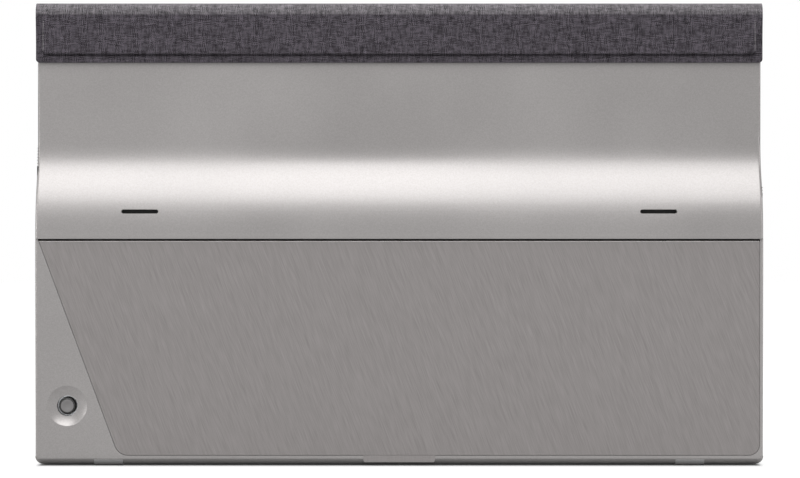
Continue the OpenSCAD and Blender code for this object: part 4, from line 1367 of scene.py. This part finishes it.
    def build_bezel(self, shop: Paintshop) -> None:
        """Build the frame round the picture, with its rounded rim.

        Args:
            shop: The finishes.
        """
        x, z0, z1 = self.picture_x, self.picture_z0, self.picture_z1
        bench = self.outline_block("screen_bezel", self.split_y, self.face_y)
        with bench.editing():
            bench.pick_edges(lambda a, b: both(a, b, y=self.face_y))
            bench.round_off(self.bezel_edge_r, 4)
        bench.cut(
            self.outline_block("rim", self.split_y - 1, self.face_y - self.bezel_skin, self.bezel_rim),
            Bench.block("window", (-x, 0, z0), (x, 9, z1)),
        )
        with bench.editing():
            bench.pick_edges(
                lambda a, b: both(a, b, y=self.face_y)
                and max(abs(a.x), abs(b.x)) < x + 0.1
                and z0 - 0.1 < min(a.z, b.z)
                and max(a.z, b.z) < z1 + 0.1
            )
            bench.round_off(self.window_edge_r, 2)
        bench.settle()
        bench.smooth()
        hand_over(bench, Body.MONITOR, "bezel_plastic", shop, "front_bezel")

    def darken_sockets(self, frame: dict, shop: Paintshop) -> None:
        """Lay dark plastic on the tongues and back walls deep in the sockets.

        Args:
            shop: The finishes.
        """
        rim_x = self.half_w - self.wall
        for name in ("usb_c_ports", "mini_hdmi_port"):
            shop.lay_part(frame["nodes"][name], "socket_plastic", lambda p, n: n.x > 0.5 and p.x < rim_x)

    def build_feet(self, shop: Paintshop) -> None:
        """Build the two rubber feet that wrap up the lower rear edge.

        Args:
            shop: The finishes.
        """
        out_r, turn_y, turn_z = self.low_edge_r + self.base_z, self.low_y + self.low_edge_r, self.foot_turn_z
        heights = [self.foot_h * (i / 8) ** self.foot_crowd for i in range(9)]
        stations = [(z, turn_y - math.sqrt(max(out_r**2 - (turn_z - z) ** 2, 0))) for z in heights]
        left, right = -self.foot_x - self.foot_w / 2, -self.foot_x + self.foot_w / 2
        bench = self.section_block("left_foot_pad", stations, left, right, self.foot_front_y)
        seat_r = self.low_edge_r - self.foot_sunk
        bench.cut(
            Bench.rod("seat", (-self.foot_x, turn_y, turn_z), seat_r, 30, Axis.X, 96),
            Bench.block("seat_flat", (left - 1, turn_y, self.foot_seat_z), (right + 1, 9, 6)),
        )
        bench.settle()
        bench.soften(0.25, 3)
        bench.smooth()
        twin = bench.copy("right_foot_pad", 2 * self.foot_x)
        for pad, solid in ((bench, "left_foot"), (twin, "right_foot")):
            hand_over(pad, Body.MONITOR, "foot_rubber", shop, solid)

    def build(self, shop: Paintshop) -> None:
        """Build every piece of the chassis.

        Args:
            shop: The finishes.
        """
        self.build_housing(shop)
        self.build_bezel(shop)
        self.build_feet(shop)


# ---------------------------------------------------------------- stand


@dataclass
class Stand:
    """The brushed metal stand plate with its folded top edge, and its finger tab."""

    chassis: Chassis
    skin: float = 1.0
    fold_h: float = 4.5
    fold_r: float = 1.2
    edge_r: float = 0.22
    tab_w: float = 35.0
    tab_z0: float = 1.6
    tab_t: float = 1.6
    tab_corner_r: float = 1.2
    tab_edge_r: float = 0.5
    tongue_in: float = 4

    def build_plate(self, shop: Paintshop) -> None:
        """Build the plate: a sheet, folded in at its top, with its sloped left side.

        Args:
            shop: The finishes.
        """
        plan = self.chassis
        skin_y, top = plan.low_y + self.skin, plan.axis_z + self.fold_h
        low = (plan.stand_left - 2, plan.low_y, plan.stand_z0)
        bench = Bench.block("stand_skin", low, (plan.stand_right, skin_y, top))
        with bench.editing():
            bench.slice_at(Axis.Z, top - self.skin)
            bench.pick_faces(lambda p, n: n.y > 0.9 and p.z > top - self.skin)
            bench.extrude(y=plan.axis_y - plan.low_y - self.skin)
            bench.pick_edges(lambda a, b: both(a, b, y=plan.low_y, z=top))
            bench.round_off(self.fold_r, 5)
        bench.settle()
        with bench.editing():
            plan.trim_to_stand(bench, 0, 12)
        bench.settle()
        bench.soften(self.edge_r, 3, 50)
        bench.smooth(40)
        plate = hand_over(bench, Body.STAND, "brushed_stand", shop, "stand_plate")
        # The folded top edge's upper rounding gets the brighter metal: painted highlight line along the
        # plate's top.
        shop.lay_part(plate, "fold_painted_highlight", lambda p, n: p.z > top - self.fold_r and n.y < -0.3 and n.z > 0.1)

    def build_tab(self, shop: Paintshop) -> None:
        """Build the finger tab: a lip with rounded corners and edge, and its tongue under the plate.

        Args:
            shop: The finishes.
        """
        y0, z0, half, top = self.chassis.low_y, self.tab_z0, self.tab_w / 2, self.chassis.stand_z0
        bench = Bench.block("pull_tab", (-half, y0, z0), (half, y0 + self.tab_t, top))
        with bench.editing():
            bench.pick_edges(lambda a, b: both(a, b, z=z0) and near(a.x, b.x))
            bench.round_off(self.tab_corner_r, 6)
            bench.pick_edges(lambda a, b: both(a, b, y=y0, z=z0))
            bench.round_off(self.tab_edge_r, 4)
        reach = half - self.tongue_in
        low, high = (-reach, y0 + self.skin, top - 1), (reach, y0 + self.tab_t, top + 0.6)
        bench.add(Bench.block("tongue", low, high))
        bench.settle()
        bench.soften(0.15, 2)
        bench.smooth()
        hand_over(bench, Body.STAND, "tab_metal", shop, "stand_pull_tab")

    def build(self, shop: Paintshop) -> None:
        """Build every piece of the stand."""
        self.build_plate(shop)
        self.build_tab(shop)


# ---------------------------------------------------------------- menu key


@dataclass
class MenuKey:
    """The cap of the five-way menu key."""

    chassis: Chassis
    cap_r: float = 4.0
    skirt_y: float = -5.05
    top_y: float = -8.45
    rim_r: float = 0.9
    dimple_r: float = 2.2
    dimple: tuple[tuple[float, float], ...] = ((0.5, -0.1), (0.6, -0.12), (0.5, -0.05))

    def build(self, shop: Paintshop) -> None:
        """Build the cap: a short rod, rounded at its rim and dimpled in the middle.

        Args:
            shop: The finishes.
        """
        x, z = self.chassis.key_x, self.chassis.key_z
        face_r = self.cap_r - self.rim_r
        middle = (x, (self.skirt_y + self.top_y) / 2, z)
        bench = Bench.rod("menu_key_cap", middle, self.cap_r, self.skirt_y - self.top_y, Axis.Y, 72)
        with bench.editing():
            bench.pick_edges(lambda a, b: both(a, b, y=self.top_y))
            bench.round_off(self.rim_r, 6)
            bench.pick_faces(lambda p, n: near(p.y, self.top_y, 0.002))
            bench.inset(face_r - self.dimple_r)
            for width, depth in self.dimple:
                bench.inset(width, depth)
        bench.settle()
        bench.smooth(50)
        cap = hand_over(bench, Body.KEY_CAP, "key_grey", shop, "joystick_cap")
        deep = self.top_y + 0.5
        # The cap's rounded rim and its skirt get near-black: painted shade in the gap round the cap.
        shop.lay_part(cap, "key_painted_shade", lambda p, n: math.hypot(p.x - x, p.z - z) > face_r or p.y > deep)


# ---------------------------------------------------------------- cover


@dataclass(frozen=True)
class Side:
    """One side of the cover as it hangs at rest.

    Attributes:
        name: How its pieces' names begin.
        body: The body that it rides on.
        out: Direction of its outer face along Y.
        face_y: Depth of that face.
        hem_y: Depth of its flat hem.
        low_z: Height of its lower edge.
        corner_r: Radius of its lower corners.
        board: The board between its cloth and its lining.
        cloth_solids: The solids that its cloth replaces.
        lining_solids: The solids that its lining replaces.
    """

    name: str
    body: Body
    out: int
    face_y: float
    hem_y: float
    low_z: float
    corner_r: float
    board: str
    cloth_solids: tuple[str, ...]
    lining_solids: tuple[str, ...]


@dataclass
class Cover:
    """The fabric cover: the rear flap, the roll over the top edge and the front panel.

    Each pair in crease_y, hem_y, low_z and corner_r is the rear side's value and then the front's.
    """

    half_w: float = 178.15
    roll_top: float = 226.3
    roll_r: float = 5.2
    cloth: float = 0.8
    lining: float = 0.6
    lining_in: float = 1.22
    lining_side: float = 0.45
    lining_low: float = 1.25
    glue: float = 0.02
    crease_z: float = 220.6
    crease_half: float = 1.6
    crease_cuts: tuple[float, float] = (0.25, -0.05)
    crease_y: tuple[float, float] = (-2.65, 10.75)
    hem_y: tuple[float, float] = (-1.45, 9.15)
    low_z: tuple[float, float] = (197.0, 1.4)
    corner_r: tuple[float, float] = (1.8, 4.0)
    hem_side: float = 3.2
    hem_low: float = 3.7
    hem_under: float = 0.35
    hem_rim: float = 0.5
    hem_falls: tuple[tuple[float, float], ...] = ((1.0, 0.05), (6.0, 0.6), (12.0, 1.0))
    field_top: float = 0.9
    field_r: float = 2.5
    field_edge_r: float = 1.05
    split_y: float = 4.05

    def sides(self) -> tuple[Side, Side]:
        """The rear flap and the front panel.

        Returns:
            The two sides, the rear one first.
        """
        rear, front = zip(self.crease_y, self.hem_y, self.low_z, self.corner_r)
        cloths, linings = ("flap_fabric", "spine_fabric"), ("flap_lining", "spine_lining")
        return (
            Side("rear", Body.FLAP, -1, *rear, "flap_board", cloths, linings),
            Side("front", Body.PANEL, 1, *front, "cover_board", ("cover_fabric",), ("cover_lining",)),
        )

    def field_z1(self) -> float:
        """Upper edge of the raised fields."""
        return self.crease_z - 0.15 - self.field_top

    def cloth_map(self, bench: Bench) -> None:
        """Lay the cloth's map on a piece: metres across, and metres along its own surface.

        Args:
            bench: The bench with the piece.
        """
        mesh = bench.piece.data
        layer = mesh.uv_layers.get("cloth") or mesh.uv_layers.new(name="cloth")
        turn_z = self.roll_top - self.roll_r
        quarter = self.roll_r * math.pi / 2
        rear_y, front_y = self.crease_y[0] + self.roll_r, self.crease_y[1] - self.roll_r
        top = front_y - rear_y
        for loop in mesh.loops:
            x, y, z = mesh.vertices[loop.vertex_index].co / MM
            if z <= turn_z:
                run = z if y < self.split_y else 2 * turn_z + 2 * quarter + top - z
            elif y < rear_y:
                run = turn_z + self.roll_r * math.atan2(z - turn_z, rear_y - y)
            elif y < front_y:
                run = turn_z + quarter + (y - rear_y)
            else:
                run = turn_z + quarter + top + self.roll_r * math.atan2(y - front_y, z - turn_z)
            layer.data[loop.index].uv = (x * MM, run * MM)

    def sheet_half(self, name: str, side: Side, outer: bool) -> Bench:
        """Shape one half of a layer of the cover: the roll's half and what hangs from it.

        Args:
            name: The piece's name.
            side: The side that it belongs to.
            outer: Whether it is the cloth, which is open for the raised field, and not the lining.

        Returns:
            The bench with the layer on it.
        """
        out, inset = side.out, 0.0 if outer else self.lining_in
        x = self.half_w - (inset if outer else inset + self.lining_side)
        y0, y1 = self.crease_y[0] + inset, self.crease_y[1] - inset
        low, top = side.low_z + (0.0 if outer else self.lining_low), self.roll_top - inset
        face_y = y0 if out < 0 else y1
        sunk_y = side.hem_y if outer else side.hem_y - out * self.cloth - out * self.glue
        depth = abs(sunk_y - face_y)
        bench = Bench.block(name, (-x, y0, low), (x, y1, top))
        with bench.editing():
            bench.pick_edges(lambda a, b: both(a, b, z=top) and near(a.y, b.y))
            bench.round_off(self.roll_r - inset, 14)
            bench.pick_edges(lambda a, b: both(a, b, z=low) and near(a.x, b.x) and abs(a.x) > x - 0.1)
            bench.round_off(side.corner_r, 8)
            bench.pick_faces(lambda p, n: abs(n.x) > 0.7 or n.z < -0.2 or n.y * out < -0.97)
            bench.delete()
            falls = [(self.field_z1() - down, share) for down, share in self.hem_falls] if outer else []
            for z in [self.crease_z + step for step in self.crease_cuts] + [z for z, _ in falls]:
                bench.slice_at(Axis.Z, z)
            lowest = falls[-1][0] if outer else self.crease_z
            bench.pick_points(lambda p: near(p.y, face_y) and p.z < lowest - 0.01)
            bench.move(y=-out * depth)
            for z, share in falls:
                bench.pick_points(lambda p: near(p.y, face_y) and near(p.z, z))
                bench.move(y=-out * depth * share)
            if outer:
                self.open_field(bench, side)
            bench.pick_points(lambda p: (p.y - self.split_y - 0.02 * out) * out < -0.3 and p.z < top - 0.02)
            bench.delete("VERT")
            bench.halve((0, self.split_y, 0), (0, out, 0))
        bench.wall(self.cloth if outer else self.lining)
        return bench

    def open_field(self, bench: Bench, side: Side) -> None:
        """Open a cloth in edit mode where its raised field goes.

        Args:
            bench: The bench with the cloth.
            side: The side of the cover.
        """
        right = self.half_w - self.hem_side - self.hem_rim
        low, high = side.low_z + self.hem_low + self.hem_rim, self.field_z1() - self.hem_falls[0][0]
        for edge in (right, -right):
            bench.slice_at(Axis.X, edge)
        bench.slice_at(Axis.Z, low)
        bench.pick_faces(lambda p, n: abs(p.x) < right and low < p.z < high and abs(n.y) > 0.9)
        bench.delete()

    def field_pad(self, name: str, side: Side) -> Bench:
        """Shape the raised field: the cloth drawn over the edge of its board.

        Args:
            name: The piece's name.
            side: The side of the cover.

        Returns:
            The bench with the field on it.
        """
        face_y, foot_y = side.face_y, side.hem_y - side.out * self.hem_under
        x = self.half_w - self.hem_side
        z0, z1 = side.low_z + self.hem_low, self.field_z1()
        bench = Bench.block(name, (-x, min(face_y, foot_y), z0), (x, max(face_y, foot_y), z1))
        with bench.editing():
            bench.pick_edges(lambda a, b: near(a.x, b.x) and near(a.z, b.z))
            bench.round_off(self.field_r, 10)
            bench.pick_edges(lambda a, b: both(a, b, y=face_y))
            bench.round_off(self.field_edge_r, 6)
            bench.pick_faces(lambda p, n: n.y * side.out < -0.9)
            bench.delete()
        bench.wall(self.cloth - 0.1)
        return bench

    def build(self, shop: Paintshop) -> None:
        """Build every layer of the cover; the cloth and linings that cross the crease stay in place, on no
        body.

        Args:
            shop: The finishes.
        """
        start, end = (0, 0, self.crease_z - self.crease_half), (0, 0, self.crease_z + self.crease_half)
        bend = {"across": Body.SPINE, "start": start, "end": end}
        end_x = self.half_w - self.hem_side - self.field_edge_r
        for side in self.sides():
            cloth = self.sheet_half(f"{side.name}_cloth", side, outer=True)
            pad = self.field_pad(f"{side.name}_field_cloth", side)
            for bench in (cloth, pad):
                self.cloth_map(bench)
                bench.smooth(50)
            hand_over(cloth, side.body, "linen", shop, *side.cloth_solids, **bend)
            # The roll over the top edge gets the lighter linen: painted highlight from the light above.
            shop.lay_part(cloth.piece, "linen_painted_highlight", lambda p, n: p.z > self.crease_z - 0.1)
            hand_over(pad, side.body, "linen", shop)
            # The raised field's left and right edges get the lighter linen: painted highlight lines along
            # them.
            shop.lay_part(
                pad.piece, "linen_painted_highlight", lambda p, n: abs(p.x) > end_x and abs(n.x) > 0.3 and abs(n.z) < 0.1
            )
            lining = self.sheet_half(f"{side.name}_lining", side, outer=False)
            lining.smooth(50)
            hand_over(lining, side.body, "suede_lining", shop, *side.lining_solids, **bend)


# ---------------------------------------------------------------- studio


@dataclass
class Studio:
    """The pale floor, the soft lights and the camera. Lengths are in metres."""

    camera_place: Point = (0.00038, -1.441, 0.1105)
    lens: float = 132.1
    sensor_w: float = 36.0
    clip_end: float = 50.0
    floor_half: float = 6.0
    floor_dark: float = 0.1
    floor_pale: float = 0.36
    beside: tuple[float, float] = (0.175, 0.178)
    before: tuple[float, float] = (0.0095, 0.0185)
    glow: tuple[float, float] = (0.03, 0.65)
    key_watts: float = 23.0
    side_watts: float = 4.5
    right_share: float = 0.7
    sky_low: float = 0.35
    sky_high: float = 1.3
    sky_tilt: float = 0.1

    def hang_camera(self) -> None:
        """Hang the camera level behind the monitor."""
        data = bpy.data.cameras.new("studio_camera")
        data.lens = self.lens
        data.sensor_width = self.sensor_w
        data.clip_end = self.clip_end
        camera = bpy.data.objects.new("studio_camera", data)
        camera.location = self.camera_place
        camera.rotation_euler = (math.pi / 2, 0.0, 0.0)
        bpy.context.scene.collection.objects.link(camera)
        bpy.context.scene.camera = camera

    def lay_floor(self) -> None:
        """Lay the floor, which shows pale, glows to the eye away from the foot and keeps the shadow."""
        Bench.clear_selection()
        bpy.ops.mesh.primitive_plane_add(size=2 * self.floor_half, location=(0, 0, 0))
        floor = bpy.context.object
        floor.name = "studio_floor"
        made, graph = new_material("studio_floor")
        seen = graph.seen()
        colour = graph.blend(seen, (self.floor_dark,) * 3, (self.floor_pale,) * 3)
        board = graph.out("ShaderNodeBsdfDiffuse", {"Color": colour})
        way = graph.split(graph.place())
        beside = graph.spread(graph.math("ABSOLUTE", way[0]), *self.beside)
        before = graph.spread(graph.math("ABSOLUTE", way[1]), *self.before)
        clear = graph.spread(graph.math("MAXIMUM", beside, before), 0.0, 1.0, *self.glow)
        glow = graph.out("ShaderNodeEmission", {"Strength": graph.times(seen, clear)})
        graph.finish("ShaderNodeOutputMaterial", graph.out("ShaderNodeAddShader", {0: board, 1: glow}))
        floor.data.materials.append(made)

    def light_room(self) -> None:
        """Light the monitor softly from above, and its edges from both sides."""
        world = bpy.data.worlds.new("studio_room")
        bpy.context.scene.world = world
        world.use_nodes = True
        graph = Graph(world.node_tree)
        seen = graph.seen()
        way = graph.split(graph.node("ShaderNodeTexCoord").outputs["Generated"])
        rise = graph.spread(way[2], 0.0, 1.0, self.sky_low, self.sky_high)
        side = graph.spread(way[0], -1.0, 1.0, 1.0 + self.sky_tilt, 1.0 - self.sky_tilt)
        strength = graph.plus(graph.times(graph.times(rise, side), graph.minus(1.0, seen)), seen)
        room = graph.out("ShaderNodeBackground", {"Color": (1.0, 1.0, 1.0, 1.0), "Strength": strength})
        graph.finish("ShaderNodeOutputWorld", room)
        self.hang_lamp("key_light", (-0.1, -0.88, 1.44), (0, 0, 0.14), (1.4, 1.46), self.key_watts)
        for name, x, watts in (
            ("left_light", -1.3, self.side_watts),
            ("right_light", 1.3, self.side_watts * self.right_share),
        ):
            self.hang_lamp(name, (x, -0.5, 0.35), (0, 0, 0.12), (0.16, 1.0), watts)

    @staticmethod
    def hang_lamp(name: str, place: Point, aim: Point, size: tuple[float, float], watts: float) -> None:
        """Hang a soft rectangular lamp.

        Args:
            name: The lamp's name.
            place: Where it hangs.
            aim: The point that it faces.
            size: Its width and height.
            watts: Its power.
        """
        data = bpy.data.lights.new(name, "AREA")
        data.shape = "RECTANGLE"
        data.size, data.size_y = size
        data.energy = watts
        lamp = bpy.data.objects.new(name, data)
        lamp.location = place
        lamp.rotation_euler = (Vector(aim) - Vector(place)).to_track_quat("-Z", "Y").to_euler()
        bpy.context.scene.collection.objects.link(lamp)


def main() -> None:
    """Load the solids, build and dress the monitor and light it."""
    logging.basicConfig(level=logging.INFO, format="%(message)s")
    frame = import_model()
    shop = Paintshop()
    LOG.info("dressed %d solids", shop.dress_solids(frame))
    studio = Studio()
    studio.hang_camera()
    chassis = Chassis()
    chassis.build(shop)
    chassis.darken_sockets(frame, shop)
    Stand(chassis).build(shop)
    MenuKey(chassis).build(shop)
    Cover().build(shop)
    studio.lay_floor()
    studio.light_room()
    bpy.context.scene.view_settings.view_transform = "Standard"


if __name__ == "__main__":
    main()
